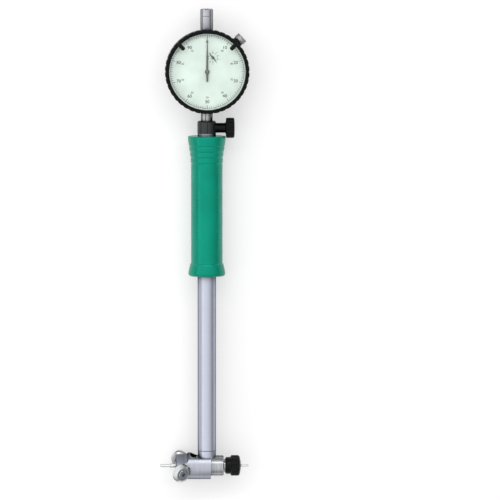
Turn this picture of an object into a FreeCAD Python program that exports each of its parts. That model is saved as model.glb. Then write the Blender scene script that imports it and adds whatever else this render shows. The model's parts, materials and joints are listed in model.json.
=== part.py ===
import FreeCAD, Part
import Sketcher
import math
import os
import re

# A dial bore gauge that lies on its back, in millimetres.
# X runs along the measuring axis from the moving contact to the anvil, Y runs up the tube to the dial,
# and Z points out of the dial's face. The origin is the centre of the flat back cover, on the surface
# that the gauge lies on. The pieces are laid out from the crossing of the tube's axis and the measuring
# axis, and the function seat moves each of them into this frame.

SIZES = {
    "General": [
        ("gauge_height", 312.5, "measuring axis to the top of the dust cap"),
        ("cap_rise", 42.4, "centre of the dial to the top of the dust cap"),
        ("dial_height", "=gauge_height - cap_rise", "measuring axis to the centre of the dial"),
        ("axis_height", 15.6, "tube axis above the surface that the gauge lies on"),
        ("running_gap", 0.05, "radial clearance of a shaft in its bearing"),
        ("seat_gap", 0.02, "clearance between two pieces that are fixed together"),
        ("face_gap", 0.1, "end clearance between a turning piece and its seat"),
        ("gauge_travel", 1.6, "travel of the measuring contact"),
        ("same_place", 0.0001, "two edges nearer than this are one"),
    ],
    "Dial housing": [
        ("case_diameter", 55.0, "housing outside"),
        ("case_face", 7.4, "stem axis to the housing's front face"),
        ("case_neck_diameter", 52.6, "neck that the bezel turns on"),
        ("case_neck_height", 2.9, "neck that the bezel turns on"),
        ("case_wall", 2.2, "side wall of the housing"),
        ("case_front", 1.5, "front wall of the housing"),
        ("cover_thickness", 1.8, "back cover"),
        ("cover_screw_circle", 47.0, "circle of the back cover's screws"),
        ("cover_screw_head", 3.8, "screw head diameter"),
        ("cover_screw_thread", 2.0, "screw shank diameter"),
        ("cover_screw_length", 6.0, "screw under its head's face"),
        ("cover_post_diameter", 5.0, "screw post inside the housing"),
        ("cover_post_height", 9.0, "screw post inside the housing"),
        ("lug_diameter", 7.0, "lug of the bezel clamp screw"),
        ("lug_reach", 29.9, "dial centre to the lug's face"),
        ("lug_level", 1.6, "lug's axis behind the stem's axis"),
        ("lug_angle", 43.2, "lug's direction above the X axis"),
        ("bezel_screw_diameter", 7.8, "knurled head of the bezel clamp screw"),
        ("bezel_screw_height", 3.6, "knurled head of the bezel clamp screw"),
        ("bezel_screw_thread", 3.0, "its shank"),
        ("bezel_screw_bevel", 0.5, "edge of its head"),
    ],
    "Bezel and dial": [
        ("bezel_diameter", 57.4, "bezel over its grip"),
        ("bezel_depth", 8.2, "bezel from front to back"),
        ("bezel_opening", 52.0, "clear opening"),
        ("bezel_lip", 0.6, "lip in front of the crystal"),
        ("bezel_bevel", 0.7, "front outer edge"),
        ("bezel_notch_radius", 1.6, "radius of a grip notch"),
        ("bezel_notch_depth", 0.35, "depth of a grip notch"),
        ("bezel_notch_pitch", 4.5, "grip notches, along the rim"),
        ("marker_groove", 1.2, "width of the groove that the limit markers run in"),
        ("marker_groove_depth", 0.5, "depth of that groove"),
        ("crystal_diameter", 54.1, "crystal"),
        ("crystal_thickness", 1.5, "crystal"),
        ("dial_plate_diameter", 33.0, "fixed middle of the dial"),
        ("dial_plate_thickness", 0.8, "fixed middle of the dial"),
        ("dial_ring_gap", 0.1, "gap between the fixed plate and the scale ring"),
        ("scale_ring_thickness", 0.6, "scale ring"),
        ("counter_dial_diameter", 9.4, "recess of the counter dial"),
        ("counter_dial_depth", 0.25, "recess of the counter dial"),
        ("marker_angle", 46.0, "limit markers from twelve o'clock"),
        ("marker_width", 2.7, "limit marker"),
        ("marker_tip", 21.9, "dial centre to a marker's inner end"),
        ("marker_thickness", 0.9, "limit marker"),
    ],
    "Pointers and movement": [
        ("rack_pitch", 0.625, "tooth pitch of the rack"),
        ("gear_module", 0.1875, "module of the wheels and the centre pinion"),
        ("rack_pinion_teeth", 16, "teeth of the rack pinion"),
        ("large_wheel_teeth", 100, "teeth of the large wheel"),
        ("centre_pinion_teeth", 10, "teeth of the centre pinion"),
        ("counter_wheel_teeth", 100, "teeth of the counter wheel"),
        ("rack_gaps", 22, "gaps cut in the rack"),
        ("tooth_head", 0.75, "tooth outside the pitch line, in modules"),
        ("tooth_root", 1.15, "gap inside the pitch line, in modules"),
        ("tooth_gap", 0.56, "gap's share of the pitch"),
        ("tooth_flank", 20.0, "slope of a tooth's side"),
        ("counter_wheel_side", 3.9, "stem axis to the counter wheel's arbor"),
        ("rack_line", 2.2, "stem axis to the pitch line of the rack"),
        ("main_pointer_reach", 24.8, "dial centre to the tip"),
        ("main_pointer_tail", 6.8, "dial centre to the tail's end"),
        ("main_pointer_width", 1.5, "widest part of the blade"),
        ("main_pointer_tail_width", 1.2, "blade at the tail's end"),
        ("main_pointer_hub", 3.2, "hub diameter"),
        ("main_pointer_gap", 1.1, "dial face to the blade"),
        ("counter_pointer_reach", 3.7, "arbor to the tip"),
        ("counter_pointer_tail", 3.3, "arbor to the tail's end"),
        ("counter_pointer_tail_width", 0.3, "blade at the tail's end"),
        ("counter_pointer_width", 1.3, "widest part of the blade"),
        ("counter_pointer_hub", 2.0, "hub diameter"),
        ("counter_pointer_gap", 0.4, "dial face to the blade"),
        ("counter_pointer_turn", 40.6, "blade's rest direction, anticlockwise from twelve"),
        ("pointer_thickness", 0.3, "blades"),
        ("pointer_tip_width", 0.3, "blades at the tip"),
        ("arbor_diameter", 0.8, "arbors at their bearings"),
        ("rack_pinion_face", 4.0, "face width of the rack pinion"),
        ("wheel_face", 0.5, "face width of the two wheels"),
        ("centre_pinion_face", 0.9, "face width of the centre pinion"),
        ("movement_plate_thickness", 0.6, "movement plate"),
        ("movement_gap", 0.2, "spindle to the movement plate"),
        ("movement_post_diameter", 2.4, "posts between the plate and the front wall"),
        ("movement_half_width", 11.0, "stem axis to the side posts"),
        ("movement_post_offset", 1.5, "dial centre to the inner posts"),
    ],
    "Spindle, stem and cap": [
        ("spindle_diameter", 5.2, "rack spindle"),
        ("spindle_drop", 54.1, "centre of the dial to the spindle's lower end"),
        ("spindle_rise", 30.9, "centre of the dial to the spindle's upper end"),
        ("spindle_bottom", "=dial_height - spindle_drop", "measuring axis to the spindle's lower end"),
        ("stem_diameter", 8.0, "clamping stem"),
        ("stem_drop", 52.1, "centre of the dial to the stem's lower end"),
        ("stem_bottom", "=dial_height - stem_drop", "measuring axis to the stem's lower end"),
        ("bush_diameter", 6.6, "upper spindle bush"),
        ("bush_length", 6.5, "upper spindle bush"),
        ("cap_diameter", 8.6, "dust cap"),
        ("cap_roof", 2.5, "cap above its bore"),
        ("cap_bevel", 0.6, "cap's top edge"),
        ("cap_groove", 0.1, "depth of the line below the cap's head"),
    ],
    "Holder": [
        ("clamp_diameter", 12.9, "clamp collar"),
        ("clamp_height", 8.3, "clamp collar above the tube"),
        ("clamp_spigot_length", 12.0, "clamp collar inside the tube"),
        ("clamp_bevel", 0.8, "upper edge of the clamp collar"),
        ("clamp_slit", 0.8, "slit of the clamp collar"),
        ("clamp_screw_height", 3.5, "tube's end to the clamp screw's axis"),
        ("clamp_screw_seat", 5.6, "tube axis to the flat under the clamp screw"),
        ("clamp_shank_diameter", 6.7, "shank of the clamp screw"),
        ("clamp_knob_start", 13.1, "tube axis to the knob"),
        ("clamp_knob_length", 5.7, "knob"),
        ("clamp_knob_diameter", 13.8, "knob"),
        ("clamp_knob_bevel", 0.7, "knob's edges"),
        ("clamp_knob_neck", 0.9, "cone between shank and knob"),
        ("clamp_thread_diameter", 3.0, "threaded end of the clamp screw"),
        ("tube_diameter", 12.5, "tube outside"),
        ("tube_bore", 10.4, "tube inside"),
        ("tube_bottom", 10.5, "measuring axis to the tube's lower end"),
        ("tube_drop", 42.3, "centre of the dial to the tube's upper end"),
        ("tube_top", "=dial_height - tube_drop", "measuring axis to the tube's upper end"),
        ("grip_drop", 44.3, "centre of the dial to the grip's upper end"),
        ("grip_length", 97.1, "grip"),
        ("grip_bottom", "=dial_height - grip_drop - grip_length", "measuring axis to the grip's lower end"),
        ("grip_diameter", 21.2, "grip's straight part"),
        ("grip_flange_diameter", 25.5, "upper flange"),
        ("grip_flange_height", 2.4, "upper flange's rim"),
        ("grip_neck_diameter", 24.9, "top of the taper, under the flange"),
        ("grip_flare_diameter", 25.3, "lower flare"),
        ("grip_flare_height", 8.3, "lower flare"),
        ("grip_flare_step", 0.8, "step at the top of the lower flare"),
        ("grip_corner", 1.6, "rounded lower corner"),
        ("grip_taper_height", 18.0, "tapered part with the ring grooves"),
        ("grip_grooves", 4, "ring grooves"),
        ("grip_groove_first", 4.7, "flange to the middle of the first groove"),
        ("grip_groove_pitch", 3.9, "from groove to groove"),
        ("grip_groove_width", 1.5, "ring groove"),
        ("grip_groove_depth", 0.3, "ring groove"),
        ("grip_band_swell", 0.1, "swell of the bands between the grooves"),
        ("rod_diameter", 3.0, "push rod"),
        ("rod_nose_diameter", 1.6, "push rod's lower end"),
        ("rod_nose_length", 2.4, "push rod's lower end"),
        ("rod_bush_length", 8.0, "guide bush of the push rod"),
        ("rod_bush_low", 30.0, "measuring axis to the lower bush"),
        ("rod_bush_depth", 31.8, "tube's upper end to the upper bush"),
        ("rod_bush_high", "=tube_top - rod_bush_depth", "measuring axis to the upper bush"),
    ],
    "Measuring head": [
        ("collar_seat", 3.8, "measuring axis to the collar's lower face"),
        ("collar_groove", 0.4, "groove between collar and tube"),
        ("head_collar_diameter", 12.3, "collar outside"),
        ("collar_groove_diameter", 11.6, "groove between collar and tube"),
        ("collar_spigot_length", 9.5, "collar inside the tube"),
        ("barrel_diameter", 13.7, "head barrel"),
        ("barrel_left", 7.5, "tube axis to the barrel's left shoulder"),
        ("barrel_right", 11.4, "tube axis to the barrel's right end"),
        ("nose_diameter", 8.0, "plunger guide in front of the barrel"),
        ("nose_length", 2.4, "plunger guide in front of the barrel"),
        ("barrel_bevel", 0.5, "barrel's right edge"),
        ("crank_arm", 2.2, "both arms of the bell crank"),
        ("crank_thickness", 2.0, "bell crank"),
        ("crank_arm_width", 0.9, "arms of the bell crank"),
        ("crank_hub_diameter", 2.6, "bell crank's hub"),
        ("crank_tip_diameter", 1.6, "rounded ends of the arms"),
        ("crank_pin_diameter", 1.4, "bell crank's pin"),
        ("crank_rest_turn", 20.8, "arms from square at rest"),
        ("crank_touch", 0.08, "play between crank, plunger and rod"),
        ("plunger_diameter", 5.0, "contact plunger in its guide"),
        ("plunger_nose_diameter", 1.2, "end that touches the crank"),
        ("plunger_nose_length", 2.2, "end that touches the crank"),
        ("plunger_front_diameter", 2.9, "front of the plunger"),
        ("plunger_step", 19.5, "tube axis to the plunger's step"),
        ("plunger_end", 24.9, "tube axis to the plunger's front face"),
        ("contact_diameter", 2.0, "contact pin"),
        ("contact_shank_diameter", 1.2, "contact pin inside the plunger"),
        ("contact_shank_length", 2.5, "contact pin inside the plunger"),
        ("contact_end", 32.0, "tube axis to the contact pin's end"),
        ("bridge_diameter", 18.5, "bridge sleeve"),
        ("bridge_left", 21.0, "tube axis to the bridge's left face"),
        ("bridge_right", 2.5, "tube axis to the bridge's right face"),
        ("bridge_cavity", 12.8, "tube axis to the bottom of the bridge's bore"),
        ("bridge_bevel", 1.0, "left edge of the bridge"),
        ("spring_cavity_diameter", 12.3, "bridge's bore round the spring"),
        ("bridge_flat", 7.2, "measuring axis to the bridge's milled flat"),
        ("bridge_flat_radius", 3.0, "run-out of the milled flat"),
        ("bridge_flat_start", 11.6, "tube axis to the flat's run-out"),
        ("bridge_travel", 2.5, "travel of the bridge"),
        ("bridge_turn", 19.5, "bridge about the measuring axis"),
        ("bridge_slot_side", 0.35, "clearance beside the collar"),
        ("bridge_slot_centre", 5.1, "tube axis to the centre of the slot's round end"),
        ("guide_screw_diameter", 2.4, "guide screw of the bridge"),
        ("guide_screw_place", 3.0, "tube axis to the guide screw"),
        ("guide_screw_reach", 8.9, "measuring axis to the guide screw's head"),
        ("guide_screw_root", 4.9, "measuring axis to the guide screw's end"),
        ("spring_wire", 0.7, "bridge spring's wire"),
        ("spring_radius", 5.6, "bridge spring's mean radius"),
        ("spring_turns", 3.0, "bridge spring"),
        ("wheel_diameter", 12.3, "bridge wheel"),
        ("wheel_thickness", 4.4, "bridge wheel"),
        ("wheel_bevel", 0.85, "bevel between the rim and a face"),
        ("wheel_bevel_inset", 1.5, "radius that the bevel takes"),
        ("wheel_recess_diameter", 7.5, "recess for the screw's head"),
        ("wheel_recess_depth", 0.7, "recess for the screw's head"),
        ("wheel_place", 17.9, "tube axis to the wheels' centres"),
        ("wheel_spread", 11.3, "measuring axis to the wheels' centres"),
        ("wheel_drop", 0.7, "wheels' centres below the middle of the bridge"),
        ("wheel_tilt", 30.0, "wheels' axes from square to the measuring axis"),
        ("wheel_room", 0.3, "bridge to a wheel"),
        ("axle_diameter", 3.0, "shoulder of an axle screw"),
        ("axle_thread", 2.0, "thread of an axle screw"),
        ("axle_thread_length", 4.0, "thread of an axle screw"),
        ("axle_head_diameter", 6.9, "head of an axle screw"),
        ("axle_head_height", 1.2, "head of an axle screw"),
        ("axle_socket_diameter", 2.6, "socket of an axle screw"),
        ("axle_boss_diameter", 4.6, "boss under a wheel"),
        ("anvil_diameter", 4.0, "anvil"),
        ("anvil_root", 4.5, "tube axis to the anvil's inner end"),
        ("anvil_step", 20.4, "tube axis to the anvil's step"),
        ("anvil_tip_diameter", 1.6, "anvil's tip"),
        ("anvil_end", 28.5, "tube axis to the anvil's end"),
        ("washer_diameter", 8.6, "washer behind the lock nut"),
        ("washer_thickness", 1.1, "washer behind the lock nut"),
        ("nut_neck_diameter", 11.6, "lock nut's neck"),
        ("nut_neck_length", 3.6, "lock nut's neck"),
        ("nut_diameter", 14.1, "lock nut's knurled part"),
        ("nut_length", 5.0, "lock nut's knurled part"),
        ("nut_dome", 1.9, "lock nut's domed end"),
        ("nut_bevel", 0.6, "lock nut's edges"),
    ],
}

doc = FreeCAD.newDocument("dial_bore_gauge")
sheet = doc.addObject("Spreadsheet::Sheet", "sizes")
row = 1
for heading, entries in SIZES.items():
    sheet.set(f"A{row}", heading)
    row += 1
    for alias, number, meaning in entries:
        sheet.set(f"A{row}", meaning)
        sheet.set(f"B{row}", str(number))
        sheet.setAlias(f"B{row}", alias)
        row += 1
doc.recompute()

NAMES = {alias for entries in SIZES.values() for alias, number, meaning in entries}
TURNS = {
    "+X": FreeCAD.Rotation(FreeCAD.Vector(0, 1, 0), 90),
    "-X": FreeCAD.Rotation(FreeCAD.Vector(0, 1, 0), -90),
    "+Y": FreeCAD.Rotation(FreeCAD.Vector(1, 0, 0), -90),
    "-Y": FreeCAD.Rotation(FreeCAD.Vector(1, 0, 0), 90),
    "+Z": FreeCAD.Rotation(),
    "-Z": FreeCAD.Rotation(FreeCAD.Vector(1, 0, 0), 180),
}
subparts = []


def size(alias):
    """The number that the sheet holds under this name."""
    return float(sheet.get(alias))


def formula(text):
    """An expression over the sheet's cells, from one that only names them."""
    return re.sub(r"[a-z]+(?:_[a-z]+)+", lambda word: "sizes." + word.group(0), str(text))


def worth(text):
    """What such an expression comes to now."""
    return sheet.evalExpression(formula(text)) * 1.0


def bind(thing, **sizes_of):
    """Ties properties of an object to expressions."""
    for name, text in sizes_of.items():
        thing.setExpression(name, formula(text))
    return thing


def put(thing, x="0", y="0", z="0", turn="+Z"):
    """Places an object, with its own Z axis along the named direction or turned by a rotation."""
    rotation = TURNS[turn] if isinstance(turn, str) else turn
    thing.Placement = FreeCAD.Placement(FreeCAD.Vector(worth(x), worth(y), worth(z)), rotation)
    for letter, text in (("x", x), ("y", y), ("z", z)):
        thing.setExpression("Placement.Base." + letter, formula(text))
    return thing


def seat(thing, label, x="0", y="0", z="0", turn="+Z"):
    """Places a finished sub-part, given from the crossing of the tube and the measuring axis."""
    put(thing, x, f"{y} - dial_height", f"{z} + axis_height", turn)
    thing.Label = label
    subparts.append(thing)
    return thing


def origin_plane(body, role):
    """One of a body's own origin planes."""
    return next(plane for plane in body.Origin.OriginFeatures if plane.Role == role)


def closed_sketch(body, name, role, outline):
    """A closed outline of straight lines, each corner tied to the sheet."""
    sketch = body.newObject("Sketcher::SketchObject", name)
    sketch.AttachmentSupport = (origin_plane(body, role), [""])
    sketch.MapMode = "FlatFace"
    corners = [FreeCAD.Vector(worth(across), worth(up), 0) for across, up in outline]
    count = len(corners)
    for index in range(count):
        sketch.addGeometry(Part.LineSegment(corners[index], corners[(index + 1) % count]))
    for index in range(count):
        sketch.addConstraint(Sketcher.Constraint("Coincident", index, 2, (index + 1) % count, 1))
    for index, (across, up) in enumerate(outline):
        for kind, text, axis in (("DistanceX", across, -2), ("DistanceY", up, -1)):
            if text == "0":
                sketch.addConstraint(Sketcher.Constraint("PointOnObject", index, 1, axis))
                continue
            place = sketch.addConstraint(Sketcher.Constraint(kind, -1, 1, index, 1, worth(text)))
            sketch.setExpression(f"Constraints[{place}]", formula(text))
    return sketch


def turned(name, outline):
    """A body turned about its own Z axis, from corners given as radius and height."""
    body = doc.addObject("PartDesign::Body", name)
    sketch = closed_sketch(body, name + "_outline", "XZ_Plane", outline)
    lathe = body.newObject("PartDesign::Revolution", name + "_turning")
    lathe.Profile = (sketch, [""])
    lathe.ReferenceAxis = (sketch, ["V_Axis"])
    lathe.Angle = 360
    sketch.Visibility = False
    doc.recompute()
    return body


def plate(name, outline, thickness, role="XY_Plane", middle=False):
    """A flat body of even thickness from its outline."""
    body = doc.addObject("PartDesign::Body", name)
    sketch = closed_sketch(body, name + "_outline", role, outline)
    pad = body.newObject("PartDesign::Pad", name + "_pad")
    pad.Profile = (sketch, [""])
    bind(pad, Length=thickness)
    pad.Midplane = middle
    doc.recompute()
    return body


def near(number, text):
    """Whether a number is what an expression comes to."""
    return abs(number - worth(text)) < size("same_place")


def rounded(body, radius, rims):
    """Rounds circular edges of a turned body, each found by its radius and height."""
    turning = body.Tip
    names = []
    for rim_radius, height in rims:
        for number, edge in enumerate(turning.Shape.Edges, 1):
            curve = edge.Curve
            if not isinstance(curve, Part.Circle):
                continue
            if near(curve.Radius, rim_radius) and near(curve.Center.z, height):
                names.append(f"Edge{number}")
    fillet = body.newObject("PartDesign::Fillet", body.Name + "_rounding")
    fillet.Base = (turning, names)
    bind(fillet, Radius=radius)
    body.Tip = fillet
    doc.recompute()
    return body


def rod(name, diameter, length, x="0", y="0", z="0", turn="+Z"):
    """A plain cylinder."""
    cylinder = bind(doc.addObject("Part::Cylinder", name), Radius=f"({diameter}) / 2", Height=length)
    return put(cylinder, x, y, z, turn)


def block(name, length, width, height, x="0", y="0", z="0", turn="+Z"):
    """A plain box, placed by its lowest corner."""
    box = bind(doc.addObject("Part::Box", name), Length=length, Width=width, Height=height)
    return put(box, x, y, z, turn)


def joined(name, *pieces):
    """Pieces made one."""
    fuse = doc.addObject("Part::MultiFuse", name)
    fuse.Shapes = list(pieces)
    fuse.Refine = True
    return fuse


def cut(name, base, *tools):
    """A piece with tools cut out of it."""
    result = doc.addObject("Part::Cut", name)
    result.Base = base
    result.Tool = tools[0] if len(tools) == 1 else joined(name + "_tools", *tools)
    result.Refine = True
    return result


# Derived places, as expressions over the sheet

CASE_BACK = "(cover_thickness - axis_height)"
CASE_DEPTH = f"(case_face - {CASE_BACK})"
DIAL_FACE = "(case_face + dial_plate_thickness)"
BEZEL_BACK = "(case_face - case_neck_height + face_gap)"
NECK_REACH = "(case_neck_height - face_gap)"
CRYSTAL_BACK = "(bezel_depth - bezel_lip - crystal_thickness)"
RACK_PINION_RADIUS = f"(rack_pitch * rack_pinion_teeth / {2 * math.pi:.9f})"
RACK_X = f"(rack_line + {RACK_PINION_RADIUS})"
RACK_Y = f"sqrt((gear_module * (large_wheel_teeth + centre_pinion_teeth) / 2)^2 - {RACK_X}^2)"
COUNTER_X = "counter_wheel_side"
COUNTER_Y = f"sqrt((gear_module * (counter_wheel_teeth + centre_pinion_teeth) / 2)^2 - {COUNTER_X}^2)"
PLATE_BACK = "(spindle_diameter / 2 + movement_gap)"
CLAMP_AXIS = "(tube_top + clamp_screw_height)"
CRANK_X = "(0 - crank_arm)"
REST_ARM_DOWN = "(crank_arm * sin(crank_rest_turn * 1 deg))"
REST_ARM_ALONG = "(crank_arm * cos(crank_rest_turn * 1 deg))"
ROD_BOTTOM = f"(crank_arm - {REST_ARM_DOWN} + crank_tip_diameter / 2 + crank_touch)"
PLUNGER_NOSE_END = f"(crank_arm + {REST_ARM_DOWN} + crank_tip_diameter / 2 + crank_touch)"
PLUNGER_BACK = f"({PLUNGER_NOSE_END} + plunger_nose_length)"
NUT_START = "(barrel_right + washer_thickness)"


def dial_case():
    """Housing: a turned cup with its front wall, screw posts, lug and bearing holes."""
    shell = turned("case_shell", [
        ("case_diameter / 2 - case_wall", "0"), ("case_diameter / 2", "0"),
        ("case_diameter / 2", f"{CASE_DEPTH} - case_neck_height"),
        ("case_neck_diameter / 2", f"{CASE_DEPTH} - case_neck_height"),
        ("case_neck_diameter / 2", CASE_DEPTH),
        ("0", CASE_DEPTH), ("0", f"{CASE_DEPTH} - case_front"),
        ("case_diameter / 2 - case_wall", f"{CASE_DEPTH} - case_front")])
    additions = [shell]
    holes = []
    for index in range(4):
        angle = 45 + 90 * index
        across = f"cover_screw_circle / 2 * cos({angle} deg)"
        up = f"cover_screw_circle / 2 * sin({angle} deg)"
        additions.append(rod(f"case_post_{index}", "cover_post_diameter", "cover_post_height", across, up))
        holes.append(rod(f"case_post_hole_{index}", "cover_screw_thread + 2 * seat_gap",
                         "cover_screw_length", across, up))
    lug_turn = FreeCAD.Rotation(FreeCAD.Vector(0, 0, 1), size("lug_angle") - 90).multiply(TURNS["+Y"])
    level = "axis_height - cover_thickness - lug_level"
    inner = "(case_diameter / 2 - case_wall / 2)"
    start_x = f"{inner} * cos(lug_angle * 1 deg)"
    start_y = f"{inner} * sin(lug_angle * 1 deg)"
    additions.append(rod("case_lug", "lug_diameter", f"lug_reach - {inner}",
                         start_x, start_y, level, lug_turn))
    holes.append(rod("case_lug_hole", "bezel_screw_thread + 2 * running_gap", "case_diameter / 4",
                     "case_diameter * 3 / 8 * cos(lug_angle * 1 deg)",
                     "case_diameter * 3 / 8 * sin(lug_angle * 1 deg)", level, lug_turn))
    axis = "axis_height - cover_thickness"
    holes.append(rod("case_stem_hole", "stem_diameter + 2 * seat_gap", "case_diameter / 2",
                     z=axis, turn="-Y"))
    holes.append(rod("case_bush_hole", "bush_diameter + 2 * seat_gap", "case_diameter / 2",
                     z=axis, turn="+Y"))
    for name, x, y in (("centre", "0", "0"), ("counter", COUNTER_X, COUNTER_Y),
                       ("rack", f"0 - {RACK_X}", f"0 - {RACK_Y}")):
        holes.append(rod(f"case_{name}_hole", "arbor_diameter + 2 * running_gap", CASE_DEPTH, x, y))
    case = cut("case", joined("case_solid", *additions), *holes)
    seat(case, "dial_case", y="dial_height", z=CASE_BACK)


def back_cover():
    """Flat cover and its four countersunk screws."""
    disc = turned("cover_disc", [
        ("0", "0"), ("case_diameter / 2 - 0.4", "0"), ("case_diameter / 2", "0.4"),
        ("case_diameter / 2", "cover_thickness"), ("0", "cover_thickness")])
    sinks = []
    screws = []
    for index in range(4):
        angle = 45 + 90 * index
        across = f"cover_screw_circle / 2 * cos({angle} deg)"
        up = f"cover_screw_circle / 2 * sin({angle} deg)"
        sink = turned(f"cover_sink_{index}", [
            ("0", "0"), ("cover_screw_head / 2 + seat_gap", "0"), ("cover_screw_head / 2 + seat_gap", "0.1"),
            ("cover_screw_thread / 2 + seat_gap", "(cover_screw_head - cover_screw_thread) / 2 + 0.1"),
            ("cover_screw_thread / 2 + seat_gap", "cover_thickness"), ("0", "cover_thickness")])
        sinks.append(put(sink, across, up))
        screw = turned(f"cover_screw_{index}", [
            ("0", "0.6"), ("0.9", "0.6"), ("0.9", "0.1"), ("cover_screw_head / 2", "0.1"),
            ("cover_screw_thread / 2", "(cover_screw_head - cover_screw_thread) / 2 + 0.1"),
            ("cover_screw_thread / 2", "cover_screw_length"), ("0", "cover_screw_length")])
        screws.append(put(screw, across, up))
    seat(cut("cover", disc, *sinks), "back_cover", y="dial_height", z="0 - axis_height")
    group = doc.addObject("Part::Compound", "cover_screws")
    group.Links = screws
    seat(group, "back_cover_screws", y="dial_height", z="0 - axis_height")


def stem_and_bush():
    """Clamping stem below the housing and the upper bush, both turned."""
    bore = "spindle_diameter / 2 + running_gap"
    inside = "dial_height - case_diameter / 2 + case_wall + 1.0"
    stem = turned("stem_tube", [
        (bore, "0"), ("stem_diameter / 2 - 0.4", "0"), ("stem_diameter / 2", "0.4"),
        ("stem_diameter / 2", f"{inside} - stem_bottom"), (bore, f"{inside} - stem_bottom")])
    seat(stem, "stem", y="stem_bottom", turn="+Y")
    bush = turned("bush_tube", [
        (bore, "0"), ("bush_diameter / 2", "0"), ("bush_diameter / 2", "bush_length"), (bore, "bush_length")])
    seat(bush, "spindle_bush", y="dial_height + case_diameter / 2 - case_wall - 0.5", turn="+Y")


def top_cap():
    """Dust cap over the spindle's upper end."""
    start = "(dial_height + case_diameter / 2)"
    tall = "(cap_rise - case_diameter / 2)"
    neck = "(bush_length - case_wall)"
    outer = "cap_diameter / 2"
    cap = turned("cap_shell", [
        ("bush_diameter / 2 + seat_gap", "0"), (outer, "0"),
        (outer, f"{tall} - 5.2"), (f"{outer} - cap_groove", f"{tall} - 5.0"), (outer, f"{tall} - 4.8"),
        (outer, f"{tall} - cap_bevel"), (f"{outer} - cap_bevel", tall), ("0", tall),
        ("0", f"{tall} - cap_roof"), ("spindle_diameter / 2 + 0.2", f"{tall} - cap_roof"),
        ("spindle_diameter / 2 + 0.2", neck), ("bush_diameter / 2 + seat_gap", neck)])
    seat(cap, "top_cap", y=start, turn="+Y")


def spindle():
    """Rack spindle: a turned rod with the rack's flat milled into its side."""
    shaft = turned("spindle_shaft", [
        ("0", "0"), ("spindle_diameter / 2 - 1.0", "0"), ("spindle_diameter / 2", "1.0"),
        ("spindle_diameter / 2", "spindle_rise + spindle_drop - 0.5"),
        ("spindle_diameter / 2 - 0.5", "spindle_rise + spindle_drop"), ("0", "spindle_rise + spindle_drop")])
    module = "(rack_pitch / pi)"
    middle = f"(spindle_drop - {RACK_Y})"
    first = f"({middle} - round(rack_gaps * 6 / 11) * rack_pitch)"
    tip = f"(rack_line + tooth_head * {module} + seat_gap)"
    root = f"(rack_line - tooth_root * {module})"
    low, high = gap_half(module, f"{root} - rack_line"), gap_half(module, f"{tip} - rack_line")
    gap = closed_sketch(shaft, "rack_gap_outline", "XZ_Plane", [
        (f"0 - {tip}", f"{first} - {high}"), (f"0 - {root}", f"{first} - {low}"),
        (f"0 - {root}", f"{first} + {low}"), (f"0 - {tip}", f"{first} + {high}")])
    pocket = shaft.newObject("PartDesign::Pocket", "rack_gap")
    pocket.Profile = (gap, [""])
    bind(pocket, Length="spindle_diameter * 2")
    pocket.Midplane = True
    doc.recompute()
    pattern = shaft.newObject("PartDesign::LinearPattern", "rack_teeth")
    pattern.Originals = [pocket]
    pattern.Direction = (gap, ["V_Axis"])
    pattern.Occurrences = round(size("rack_gaps"))
    bind(pattern, Length=f"rack_pitch * {pattern.Occurrences - 1}")
    shaft.Tip = pattern
    gap.Visibility = False
    doc.recompute()
    flat = block("rack_flat", "spindle_diameter", "spindle_diameter * 2", "rack_pitch * rack_gaps",
                 f"0 - rack_line - tooth_head * {module} - spindle_diameter", "0 - spindle_diameter",
                 f"{first} - rack_pitch / 2")
    seat(cut("spindle_milled", shaft, flat), "spindle", y="spindle_bottom", turn="+Y")


def gap_half(module, outside):
    """Half the width of a tooth gap, at a distance outside the pitch line."""
    return f"({module} * pi * tooth_gap / 2 + ({outside}) * tan(tooth_flank * 1 deg))"


def toothed(body, name, teeth, module, face, turn=0.0):
    """Cuts the gaps of a toothed wheel into a turned body, from its lower end up to the face's height."""
    pitch_radius = f"({module} * {teeth} / 2)"
    root = f"({pitch_radius} - tooth_root * {module})"
    tip = f"({pitch_radius} + tooth_head * {module} + seat_gap)"
    low = gap_half(module, f"{root} - {pitch_radius}")
    high = gap_half(module, f"{tip} - {pitch_radius}")
    outline = [(root, f"0 - {low}"), (tip, f"0 - {high}"), (tip, high), (root, low)]
    gap = closed_sketch(body, name + "_gap_outline", "XY_Plane", outline)
    gap.AttachmentOffset = FreeCAD.Placement(FreeCAD.Vector(),
                                             FreeCAD.Rotation(FreeCAD.Vector(0, 0, 1), turn))
    pocket = body.newObject("PartDesign::Pocket", name + "_gap")
    pocket.Profile = (gap, [""])
    bind(pocket, Length=face)
    pocket.Reversed = True
    doc.recompute()
    pattern = body.newObject("PartDesign::PolarPattern", name + "_teeth")
    pattern.Originals = [pocket]
    pattern.Axis = (gap, ["N_Axis"])
    pattern.Angle = 360
    pattern.Occurrences = round(worth(teeth))
    body.Tip = pattern
    gap.Visibility = False
    doc.recompute()
    return body


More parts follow.
